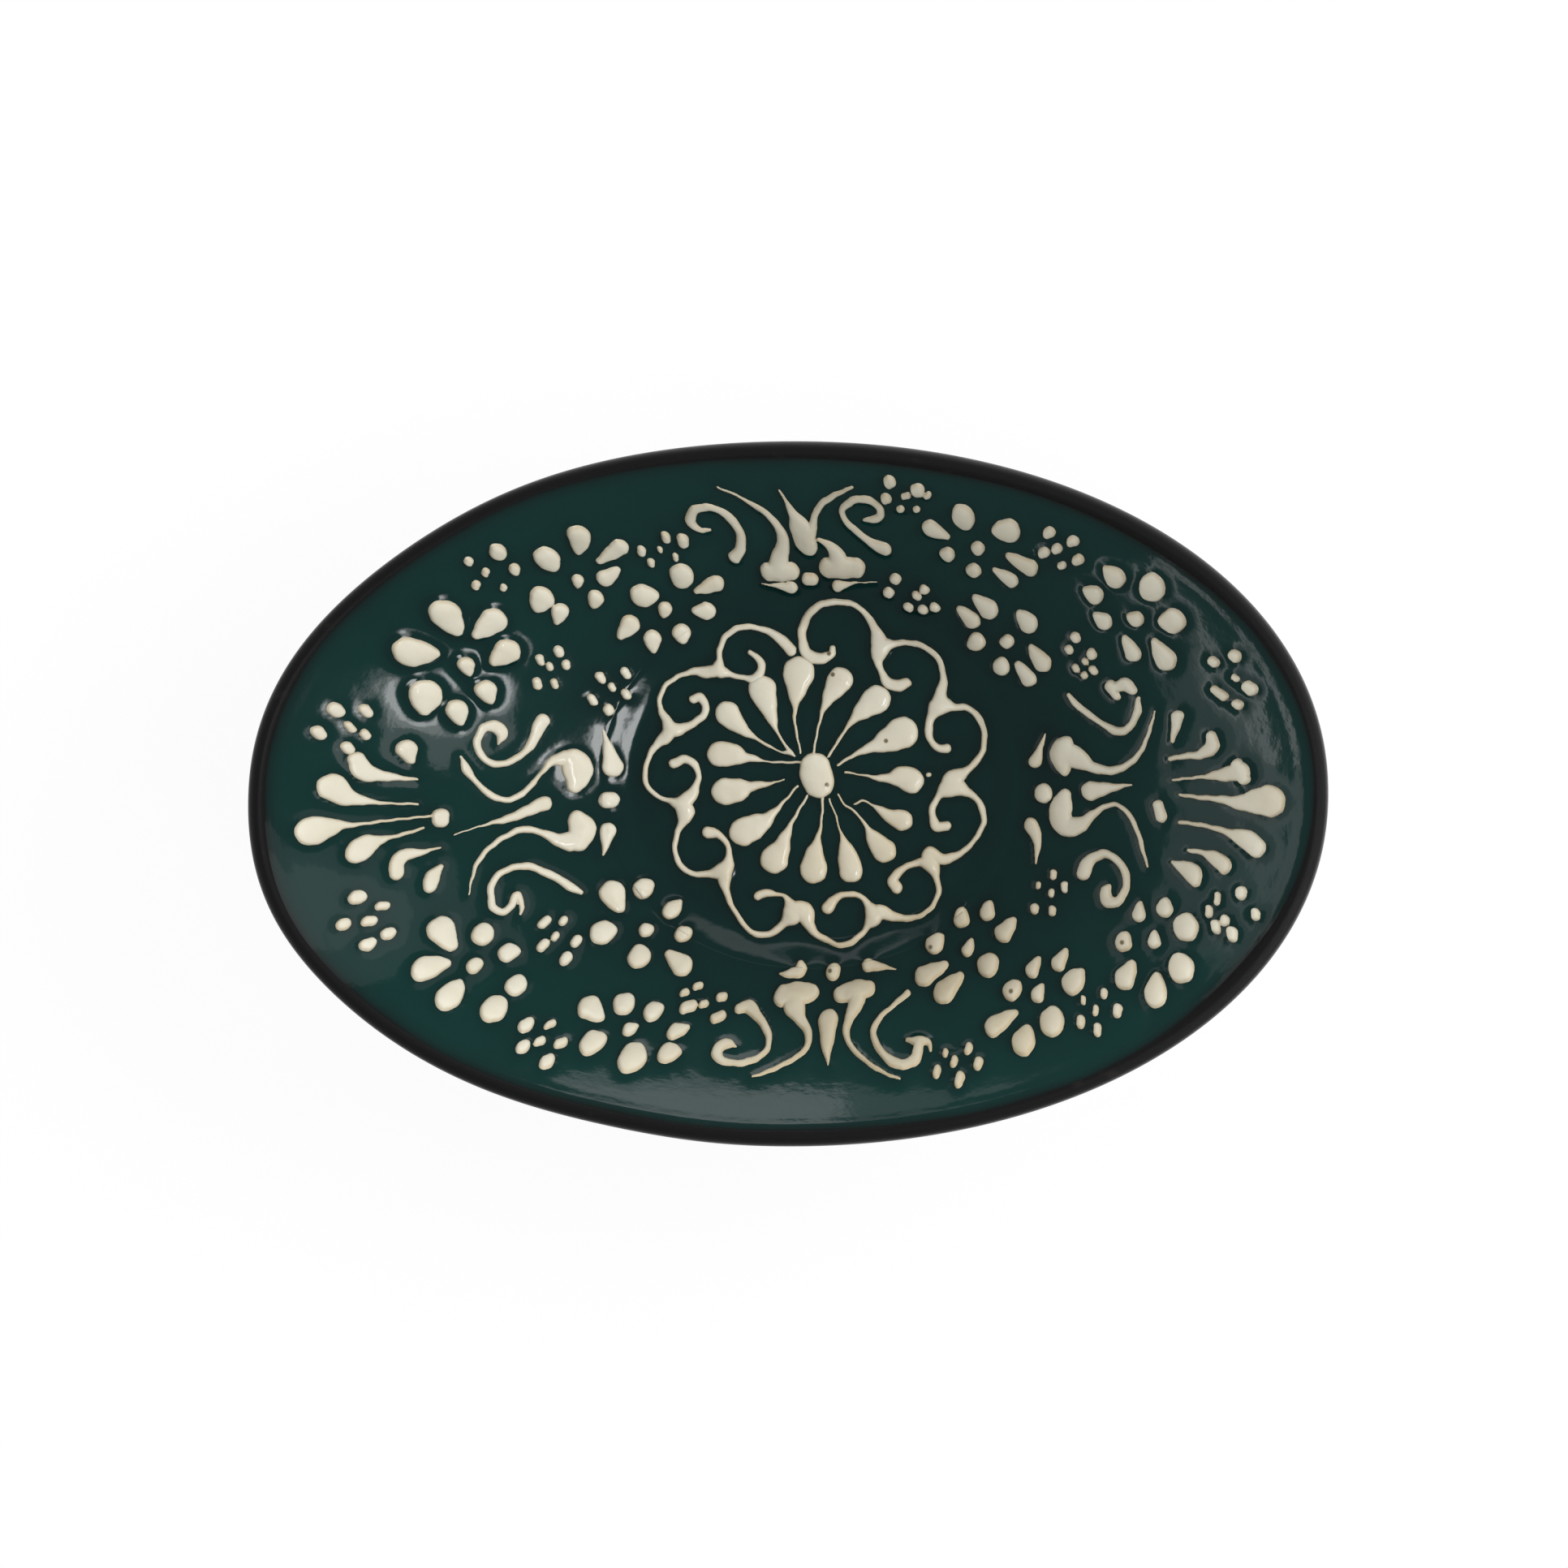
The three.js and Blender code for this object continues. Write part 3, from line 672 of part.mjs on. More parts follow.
// Tails that tie the loose strokes of one motif into one body. Strokes that touch are one clump already; each
// other clump is tied to the nearest station of those tied before.
function tied(strokes, layer = 0) {
  const clumps = [];
  strokes.forEach((stations, i) => {
    const pieces = stations.length > 1 ? line(stations, layer + (i % 4)) : [drop(stations[0])];
    const solid = wasm.Manifold.union(pieces);
    const places = stations.length > 2 ? stations.slice(1, -1) : stations.slice(0, 1);
    const met = clumps.filter((clump) => clump.solid.intersect(solid).volume() > 1e-4);
    const clump = { solid, places: places.map(([x, y]) => [x, y]), pieces };
    for (const other of met) {
      clump.solid = clump.solid.add(other.solid);
      clump.places.push(...other.places);
      clump.pieces.push(...other.pieces);
      clumps.splice(clumps.indexOf(other), 1);
    }
    clumps.push(clump);
  });
  const whole = clumps.shift();
  const made = [...whole.pieces];
  while (clumps.length) {
    let best = null;
    for (const clump of clumps)
      for (const to of clump.places)
        for (const from of whole.places) {
          const far = Math.hypot(from[0] - to[0], from[1] - to[1]);
          if (!best || far < best.far) best = { clump, from, to, far };
        }
    made.push(...best.clump.pieces, tail(best.from, best.to));
    whole.places.push(...best.clump.places);
    clumps.splice(clumps.indexOf(best.clump), 1);
  }
  return made;
}

const motifs = [];

// One motif: its pieces joined, less the flat leftovers between them, and kept clear of the motifs laid before.
function motif(name, pieces) {
  let solid = real(wasm.Manifold.union(pieces));
  const box = solid.boundingBox();
  for (const other of motifs) {
    const around = other.solid.boundingBox();
    const apart = [0, 1].some((k) => box.min[k] > around.max[k] + GAP || around.min[k] > box.max[k] + GAP);
    if (apart) continue;
    const near = grown(other.pieces);
    if (solid.intersect(near).volume() > 1e-6) solid = real(solid.subtract(near));
  }
  const bodies = solid.decompose();
  bodies.sort((p, q) => q.volume() - p.volume());
  motifs.push({ name, solid: bodies[0].simplify(FINEST), pieces });
}

const real = (solid) => wasm.Manifold.compose(solid.decompose().filter((body) => body.volume() > 1e-3));

// Pieces swollen by the gap, for cutting clear of them.
function grown(pieces) {
  return wasm.Manifold.union(
    pieces.map((piece) => {
      const { vertProperties } = piece.getMesh();
      const points = [];
      for (let i = 0; i < vertProperties.length; i += 3)
        for (const [dx, dy] of [[1, 1], [1, -1], [-1, 1], [-1, -1]])
          for (const dz of [-1, 1])
            points.push(
              new THREE.Vector3(
                vertProperties[i] + dx * GAP * 0.7,
                vertProperties[i + 1] + dy * GAP * 0.7,
                vertProperties[i + 2] + dz * GAP,
              ),
            );
      return convex(points);
    }),
  );
}

const layered = (strokes, first = 0) => strokes.flatMap((stroke, i) => line(stroke, first + (i % 4)));

motif("wreath", WREATH.flatMap((scallop, i) => line(scallop, i % 2)));
const petalsToHub = ROSETTE_PETALS.map((petal) => [...petal, [...ROSETTE_HUB[1].slice(0, 2), TAIL_WIDTH]]);
motif("rosette", [...line(ROSETTE_HUB), ...layered(petalsToHub, 1)]);
TULIPS.forEach((strokes, i) => motif(`tulip_${i + 1}`, tied(strokes)));
SCROLLS.forEach((strokes, i) => motif(`scroll_${i + 1}`, tied(strokes)));
for (const [side, { focus, strokes }] of Object.entries(FANS)) motif(`fan_${side}`, tied([[focus], ...strokes]));
FLOWERS.forEach(({ heart, petals }, i) => {
  const heads = [heart, ...petals].map(([x, y]) => [x, y]);
  const pieces = [heart, ...petals].map(drop);
  const spokes = heads.slice(1).map((head) => tail(heads[0], head));
  motif(`flower_${String(i + 1).padStart(2, "0")}`, [...pieces, ...spokes]);
});
DOTS.forEach(({ lean, drops }, i) => {
  motif(`dots_${String(i + 1).padStart(2, "0")}`, strung(drops, lean));
});

const bowl = new THREE.Group();
function add(name, solid, look) {
  const { vertProperties, triVerts } = solid.getMesh();
  const geometry = new THREE.BufferGeometry();
  geometry.setAttribute("position", new THREE.BufferAttribute(new Float32Array(vertProperties), 3));
  geometry.setIndex(new THREE.BufferAttribute(new Uint32Array(triVerts), 1));
  geometry.computeVertexNormals();
  const mesh = new THREE.Mesh(geometry, new THREE.MeshStandardMaterial(look));
  mesh.name = name;
  bowl.add(mesh);
}

add("clay_body", clayBody, { color: 0xb98a64, roughness: 0.85, metalness: 0 });
add("inner_glaze", innerGlaze, { color: GLAZE_COLOUR, roughness: 0.15, metalness: 0 });
add("outer_glaze", outerGlaze, { color: GLAZE_COLOUR, roughness: 0.15, metalness: 0 });
add("rim_band", rimBand, { color: 0x17181a, roughness: 0.25, metalness: 0 });
for (const { name, solid } of motifs) add(name, solid, { color: SLIP_COLOUR, roughness: 0.3, metalness: 0 });

export default bowl;
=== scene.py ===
"""Looks of an oval ceramic bowl: green glaze, a black lip and an ornament of trailed cream slip inside."""

import bpy
import numpy as np
from bpy.props import FloatProperty, FloatVectorProperty, IntProperty, PointerProperty
from mathutils import Matrix, Vector


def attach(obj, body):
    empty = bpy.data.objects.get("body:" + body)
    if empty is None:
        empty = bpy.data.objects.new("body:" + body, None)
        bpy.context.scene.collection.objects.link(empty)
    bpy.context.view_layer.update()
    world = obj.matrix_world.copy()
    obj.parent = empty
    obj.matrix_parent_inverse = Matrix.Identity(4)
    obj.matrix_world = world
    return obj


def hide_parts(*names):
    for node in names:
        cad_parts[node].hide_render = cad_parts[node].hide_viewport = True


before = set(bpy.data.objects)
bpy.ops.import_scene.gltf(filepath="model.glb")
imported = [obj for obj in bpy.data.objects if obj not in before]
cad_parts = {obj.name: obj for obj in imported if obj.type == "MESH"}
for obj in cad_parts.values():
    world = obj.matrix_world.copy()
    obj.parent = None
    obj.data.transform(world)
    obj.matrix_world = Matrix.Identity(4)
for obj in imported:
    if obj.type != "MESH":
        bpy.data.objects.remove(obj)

bl_info = {
    "name": "Oval slipware bowl",
    "version": (1, 0, 0),
    "blender": (4, 5, 0),
    "location": "View3D > Sidebar > Bowl",
    "description": "Builds a glazed oval bowl with trailed slip, and its stage",
    "category": "Object",
}

MM = 0.001

# Where the wall was pressed in or pushed out by hand: share of the radius, direction and spread in degrees.
HAND_MARKS = ((-0.02, 150, 18), (0.0081, 192, 10), (-0.009, 240, 16))

# Where the painted band stops further out or further in: millimetres, direction and spread in degrees.
BRUSH_MARKS = (
    (0.7, 6, 24),
    (-0.5, 42, 12),
    (0.65, 118, 26),
    (0.2, 225, 40),
    (0.65, 300, 22),
    (-0.5, 329, 12),
)

# Way along the inside for one unit of rim_levels' count, in millimetres: down the wall and over the lip.
WALL_RUN = 25
LIP_RUN = 3.8

# Rows of the inner glaze that lie on the lip.
LIP_ROWS = 5

# How deep the inner glaze goes under the black band, in metres, and how far from the band's edge its
# darkening fades, in millimetres.
BAND_SINK = 0.00005
BAND_FADE = 0.9

# Slopes that the inner glaze's normals stay under, in the well and on the wall.
WELL_SLOPE, WALL_SLOPE = 0.5, 1.1

# How far the foot draws in towards the table.
FOOT_TAPER = 0.0003

# Pits in the slip, in plan, in millimetres.
PITS = (
    (12.5, 6.7),
    (2.8, -0.3),
    (4.0, 17.5),
    (3.4, 20.9),
    (3.2, -30.2),
    (19.6, -26.4),
    (33.4, -32.5),
    (51.3, -24.5),
)

# Motifs beside which the glaze ran thicker or thinner than elsewhere, as factors.
THICK_GLAZE = {
    "flower_01": 2.6,
    "dots_03": 0.3,
    "dots_04": 0.7,
    "dots_05": 0.6,
    "scroll_5": 0.3,
    "tulip_3": 0.5,
}

# The drawing in plan, in millimetres. A drop is (head x, head y, tip x, tip y, width).
FLOWERS = (
    ((-53.0, 20.5, -52.7, 18.4, 2.5), (-54.6, 28.7, -53.2, 25.2, 4.6), (-48.0, 27.6, -51.4, 24.8, 3.8),
     (-60.5, 22.8, -56.4, 22.4, 4.8), (-46.8, 22.5, -49.5, 20.3, 3.9), (-59.2, 15.8, -59.9, 12.4, 4.8),
     (-55.0, 13.2, -54.6, 10.4, 3.3), (-50.6, 16.2, -50.0, 13.8, 3.3)),
    ((-34.8, 33.7, -35.1, 32.1, 1.8), (-38.5, 37.1, -37.7, 35.8, 3.8), (-33.0, 40.6, -33.9, 37.7, 3.4),
     (-27.4, 38.8, -31.5, 36.3, 2.5), (-30.7, 33.8, -28.1, 35.5, 2.6), (-32.6, 30.7, -33.4, 28.9, 2.5),
     (-38.2, 28.7, -39.2, 26.4, 2.6), (-40.5, 30.9, -41.9, 28.5, 3.6)),
    ((-22.4, 28.8, -22.9, 27.0, 2.2), (-19.0, 34.1, -19.8, 32.0, 3.8), (-13.9, 32.7, -17.6, 31.3, 2.6),
     (-16.0, 28.2, -18.4, 28.2, 2.9), (-20.3, 24.7, -20.2, 22.8, 3.0), (-24.9, 23.9, -25.0, 21.3, 2.8),
     (-28.0, 26.3, -30.1, 23.8, 3.0), (-25.6, 30.9, -22.9, 31.0, 3.7)),
    ((29.5, 37.7, 28.3, 38.0, 2.2), (27.8, 42.8, 28.5, 40.6, 3.7), (34.9, 40.4, 32.0, 40.6, 3.7),
     (37.6, 34.5, 33.8, 36.8, 2.7), (34.4, 32.5, 31.4, 34.5, 2.3), (28.4, 34.2, 26.8, 34.5, 2.3),
     (24.4, 36.8, 22.9, 37.2, 2.3), (22.1, 41.0, 25.2, 39.4, 2.6)),
    ((32.9, 22.7, 31.8, 22.8, 2.3), (27.3, 26.2, 24.9, 28.4, 2.8), (30.2, 27.9, 27.7, 30.2, 3.2),
     (27.8, 22.7, 26.3, 21.7, 3.0), (31.7, 18.6, 31.8, 20.2, 2.9), (36.6, 25.6, 34.9, 27.8, 3.2),
     (38.6, 19.2, 36.5, 22.2, 3.0), (36.2, 16.7, 34.1, 19.5, 2.7)),
    ((54.4, 26.3, 52.7, 26.9, 2.5), (51.5, 32.8, 49.6, 34.6, 3.3), (47.9, 30.1, 46.0, 31.3, 2.9),
     (49.1, 25.9, 47.4, 27.3, 2.7), (57.3, 31.2, 57.2, 33.4, 4.3), (53.6, 20.8, 52.1, 23.8, 2.7),
     (58.9, 19.8, 56.9, 23.2, 3.5), (60.4, 26.0, 57.9, 26.0, 4.0)),
    ((-51.8, -27.7, -50.4, -27.3, 2.4), (-57.2, -21.8, -54.8, -25.2, 4.0),
     (-51.1, -22.9, -50.3, -24.3, 3.4), (-47.2, -26.0, -45.2, -25.9, 2.9),
     (-58.7, -27.6, -55.1, -27.0, 3.8), (-54.6, -32.0, -53.3, -29.6, 4.0),
     (-45.3, -31.0, -46.8, -30.8, 3.2), (-48.0, -34.2, -46.4, -35.6, 3.9)),
    ((-26.7, -23.5, -25.3, -23.2, 2.3), (-32.2, -17.35, -30.5, -20.6, 4.0),
     (-27.4, -16.9, -26.6, -16.2, 3.3), (-22.9, -20.5, -21.3, -18.9, 2.8),
     (-33.4, -23.6, -31.0, -23.3, 3.8), (-20.9, -24.3, -19.4, -23.6, 2.7),
     (-27.4, -27.6, -27.6, -26.0, 3.6), (-20.6, -29.2, -23.4, -26.9, 3.3)),
    ((-27.5, -38.3, -25.9, -37.8, 2.0), (-34.1, -34.8, -31.5, -36.8, 3.4),
     (-28.8, -34.6, -30.5, -33.7, 3.3), (-24.3, -35.9, -22.6, -35.1, 2.9),
     (-32.7, -39.9, -30.4, -39.3, 3.5), (-20.4, -38.9, -18.0, -38.2, 2.4),
     (-26.1, -42.2, -24.5, -42.6, 4.2), (-20.9, -41.8, -18.6, -41.7, 2.9)),
    ((25.8, -26.9, 26.6, -24.9, 2.0), (24.6, -22.1, 24.7, -20.0, 2.8), (28.9, -21.0, 29.4, -18.9, 2.6),
     (20.2, -26.1, 21.6, -24.4, 3.1), (31.7, -24.1, 33.7, -21.5, 3.0), (18.8, -31.0, 22.8, -28.9, 3.2),
     (22.3, -33.3, 25.3, -30.3, 3.5), (29.3, -29.1, 30.6, -27.4, 3.6)),
    ((37.8, -33.2, 38.6, -31.3, 2.2), (33.5, -32.7, 35.0, -31.2, 3.0), (36.7, -29.6, 37.9, -27.3, 2.3),
     (41.0, -28.4, 42.4, -25.9, 2.4), (43.5, -31.1, 45.2, -28.9, 3.6), (31.0, -37.9, 34.8, -35.5, 3.0),
     (36.1, -39.8, 37.0, -37.4, 3.8), (40.5, -36.8, 40.8, -35.2, 4.1)),
    ((56.6, -24.3, 56.8, -22.4, 2.1), (54.0, -20.4, 54.3, -18.2, 2.2), (58.2, -19.3, 58.4, -17.4, 2.7),
     (51.6, -24.7, 52.2, -22.9, 2.8), (61.7, -21.9, 61.9, -20.0, 4.1), (52.0, -30.0, 53.5, -27.2, 3.3),
     (57.1, -31.9, 57.4, -28.6, 3.7), (61.1, -27.9, 60.6, -25.9, 4.2)),
)

# Groups of small drops: the lean of the group in degrees, and each drop's (x, y, width, length).
DOTS = (
    (60, ((-45.1, 38.3, 2.3, 2.8), (-49.5, 36.9, 1.3, 1.7), (-47.6, 35.1, 1.2, 1.6),
          (-49.4, 33.1, 1.3, 1.7), (-43.5, 35.5, 1.6, 2.1), (-45.7, 32.6, 1.1, 1.5))),
    (80, ((-24.4, 38.1, 1.4, 1.9), (-20.2, 40.2, 1.5, 2.0), (-21.5, 38.3, 1.0, 1.3),
          (-17.7, 39.6, 1.9, 2.4), (-23.3, 36.2, 1.3, 1.7), (-19.4, 37.0, 1.1, 1.5))),
    (100, ((-39.2, 22.0, 1.7, 2.0), (-42.1, 20.75, 1.4, 2.0), (-40.8, 19.6, 1.3, 1.6),
           (-38.3, 19.8, 1.4, 1.8), (-42.9, 16.9, 1.5, 2.2), (-40.3, 16.8, 1.3, 1.9))),
    (115, ((-33.3, 17.6, 1.5, 2.2), (-29.4, 18.2, 1.5, 2.2), (-31.7, 16.0, 1.3, 1.7),
           (-29.6, 14.8, 1.6, 2.0), (-34.8, 14.0, 1.5, 2.2), (-32.4, 12.3, 1.7, 2.1))),
    (120, ((-71.4, 13.7, 2.2, 2.7), (-67.5, 13.4, 1.8, 2.4), (-74.0, 10.2, 2.0, 2.5),
           (-69.85, 10.9, 1.4, 2.2), (-67.9, 9.6, 1.4, 2.0), (-70.4, 7.6, 1.7, 2.3))),
    (20, ((17.1, 48.2, 1.8, 2.2), (15.9, 45.7, 1.6, 2.0), (17.8, 44.1, 1.2, 1.5),
          (20.45, 44.0, 1.1, 1.4), (21.3, 46.9, 2.0, 2.4), (19.2, 46.1, 1.1, 1.9),
          (22.7, 46.1, 1.1, 1.6))),
    (150, ((15.2, 33.0, 1.7, 2.0), (13.8, 30.8, 1.7, 2.0), (18.5, 30.3, 1.5, 1.8),
           (19.8, 31.2, 1.5, 1.8), (16.9, 28.4, 1.5, 1.9), (19.3, 28.0, 1.6, 1.9),
           (21.25, 28.3, 1.6, 1.9))),
    (15, ((41.4, 40.0, 1.7, 2.2), (45.1, 38.6, 1.7, 2.2), (42.4, 37.5, 1.6, 2.0),
          (40.2, 36.9, 1.7, 2.1), (45.6, 35.7, 1.7, 2.2), (42.9, 34.85, 1.3, 1.7))),
    (120, ((44.3, 23.3, 1.6, 2.0), (43.1, 21.4, 1.4, 1.8), (46.8, 20.7, 1.6, 2.0),
           (45.8, 19.5, 1.2, 1.5), (44.1, 18.4, 1.3, 1.7), (47.0, 18.1, 1.4, 1.8),
           (45.5, 17.3, 1.2, 1.5))),
    (-35, ((66.6, 19.6, 1.7, 2.1), (70.0, 20.6, 1.9, 2.3), (69.95, 17.1, 1.2, 1.6),
           (72.2, 15.6, 2.0, 2.8), (67.3, 14.7, 1.5, 3.4), (70.2, 13.0, 1.6, 2.0))),
    (0, ((-69.1, -16.1, 2.3, 2.6), (-65.6, -17.7, 1.5, 2.2), (-70.6, -20.1, 1.9, 2.2),
         (-67.2, -19.9, 1.7, 2.3), (-64.4, -22.0, 1.9, 2.3), (-67.0, -23.4, 2.0, 2.4))),
    (50, ((-42.2, -21.6, 1.6, 2.4), (-39.4, -21.5, 1.4, 1.8), (-40.45, -23.9, 1.35, 1.7),
          (-42.1, -25.2, 1.7, 2.2), (-37.2, -24.8, 1.7, 2.1), (-38.5, -27.4, 1.9, 2.3))),
    (20, ((-42.9, -36.9, 2.1, 2.5), (-39.4, -37.0, 1.3, 1.9), (-42.6, -39.9, 1.9, 2.2),
          (-40.4, -39.3, 1.4, 1.9), (-37.25, -39.7, 1.5, 2.3), (-38.6, -42.1, 2.0, 2.4))),
    (15, ((-19.8, -33.3, 1.3, 1.7), (-17.8, -32.4, 1.3, 1.9), (-13.85, -34.1, 1.5, 2.0),
          (-18.9, -35.4, 1.8, 3.0), (-16.55, -35.1, 1.3, 1.7), (-14.0, -37.0, 1.6, 2.7))),
    (90, ((39.8, -14.75, 1.2, 1.9), (41.7, -16.6, 1.2, 2.0), (37.3, -16.5, 1.0, 1.4),
          (39.5, -17.6, 1.1, 1.6), (36.8, -20.2, 1.5, 1.9), (39.7, -20.4, 1.3, 1.9))),
    (90, ((70.5, -16.2, 1.8, 2.2), (66.7, -17.3, 1.1, 2.3), (65.4, -19.3, 1.3, 2.2),
          (72.8, -19.2, 1.5, 2.0), (66.6, -21.5, 1.7, 2.3), (68.0, -20.5, 1.5, 1.9),
          (69.2, -22.4, 1.8, 2.4))),
    (85, ((45.4, -33.5, 1.0, 1.6), (48.7, -32.3, 1.3, 1.7), (47.5, -34.8, 1.1, 1.7),
          (51.1, -34.6, 1.5, 2.2), (45.2, -36.5, 1.5, 2.0), (48.0, -37.4, 1.4, 2.0))),
    (75, ((23.5, -41.8, 1.1, 1.5), (25.1, -42.9, 1.3, 1.7), (27.2, -41.1, 1.4, 1.8),
          (22.5, -44.3, 1.4, 1.9), (29.1, -43.0, 1.5, 2.0), (26.4, -45.2, 1.6, 2.2))),
)

# A line of slip is a list of (x, y, width).
ROSETTE = (
    ((0.8, 2.4, 5.0), (1.0, 1.2, 5.4), (1.4, 0.0, 5.0)),
    ((-7.6, 15.2, 4.6), (-6.4, 11.4, 2.4), (-5.5, 8.9, 0.9), (-4.2, 6.4, 0.6), (-2.8, 4.7, 0.8)),
    ((-1.6, 17.9, 5.2), (-2.0, 14.95, 3.0), (-2.3, 12.4, 1.1), (-2.4, 10.0, 0.7), (-2.0, 7.5, 0.6),
     (-1.5, 4.9, 0.5)),
    ((-13.4, 11.4, 4.0), (-12.1, 9.9, 3.0), (-10.5, 8.4, 1.6), (-9.0, 7.45, 0.9), (-6.9, 6.2, 0.7),
     (-4.4, 5.0, 0.6), (-3.3, 5.0, 1.0), (-2.4, 4.3, 0.5)),
    ((-14.7, 4.8, 4.2), (-12.6, 4.7, 3.6), (-10.8, 4.2, 1.8), (-9.0, 4.05, 1.2), (-7.8, 3.65, 0.6),
     (-5.3, 3.4, 0.6), (-1.1, 3.35, 0.6)),
    ((-14.0, -1.3, 4.4), (-12.0, -1.1, 3.8), (-10.2, -0.6, 2.0), (-7.8, -0.2, 1.2), (-6.0, 0.05, 0.6),
     (-4.3, 0.6, 0.4)),
    ((-11.1, -7.9, 4.6), (-9.2, -7.0, 4.0), (-7.4, -6.0, 2.4), (-5.8, -4.5, 1.2), (-4.25, -2.9, 0.7),
     (-2.1, -0.5, 0.6)),
    ((-6.1, -12.4, 4.6), (-4.9, -10.4, 2.9), (-4.1, -8.4, 1.7), (-3.2, -6.6, 0.9), (-2.1, -4.65, 0.7),
     (-0.5, -2.1, 0.6)),
    ((0.3, -14.1, 4.5), (0.5, -11.6, 3.0), (1.0, -9.4, 1.3), (1.45, -7.7, 0.8), (1.8, -5.5, 0.6),
     (2.0, -2.6, 0.7)),
    ((6.4, -14.3, 3.9), (5.85, -11.6, 3.0), (5.3, -9.6, 1.3), (4.75, -7.9, 0.6), (4.1, -5.5, 0.5),
     (3.05, -2.7, 0.5)),
    ((11.9, -11.1, 3.9), (10.6, -9.7, 3.0), (9.5, -8.0, 1.3), (8.3, -6.0, 0.7), (6.9, -4.5, 0.6),
     (5.5, -3.6, 0.5), (4.5, -1.9, 0.5)),
    ((14.9, -6.2, 3.4), (13.05, -5.6, 2.4), (11.3, -4.5, 1.3), (10.05, -3.65, 0.6), (8.65, -3.0, 0.6),
     (7.1, -3.5, 0.5)),
    ((16.4, 0.2, 4.2), (15.05, 0.8, 3.6), (13.1, 0.6, 1.9), (10.95, 0.7, 1.1), (8.4, 1.2, 0.5),
     (5.8, 1.65, 0.6)),
    ((15.1, 7.95, 5.2), (12.9, 6.85, 4.0), (10.7, 5.9, 2.2), (8.7, 5.15, 1.3), (6.7, 4.15, 0.8),
     (4.5, 2.85, 0.6)),
    ((11.0, 13.4, 4.6), (9.3, 12.1, 3.4), (7.75, 10.75, 1.9), (6.4, 9.25, 0.9), (4.8, 6.95, 0.7),
     (3.0, 4.2, 0.6)),
    ((5.1, 16.6, 4.2), (3.8, 14.65, 2.9), (2.65, 12.7, 1.4), (1.85, 10.5, 0.7), (1.2, 7.9, 0.6),
     (0.6, 4.8, 0.6)),
    ((19.2, 1.1, 0.9), (19.4, 1.1, 0.9)),
)

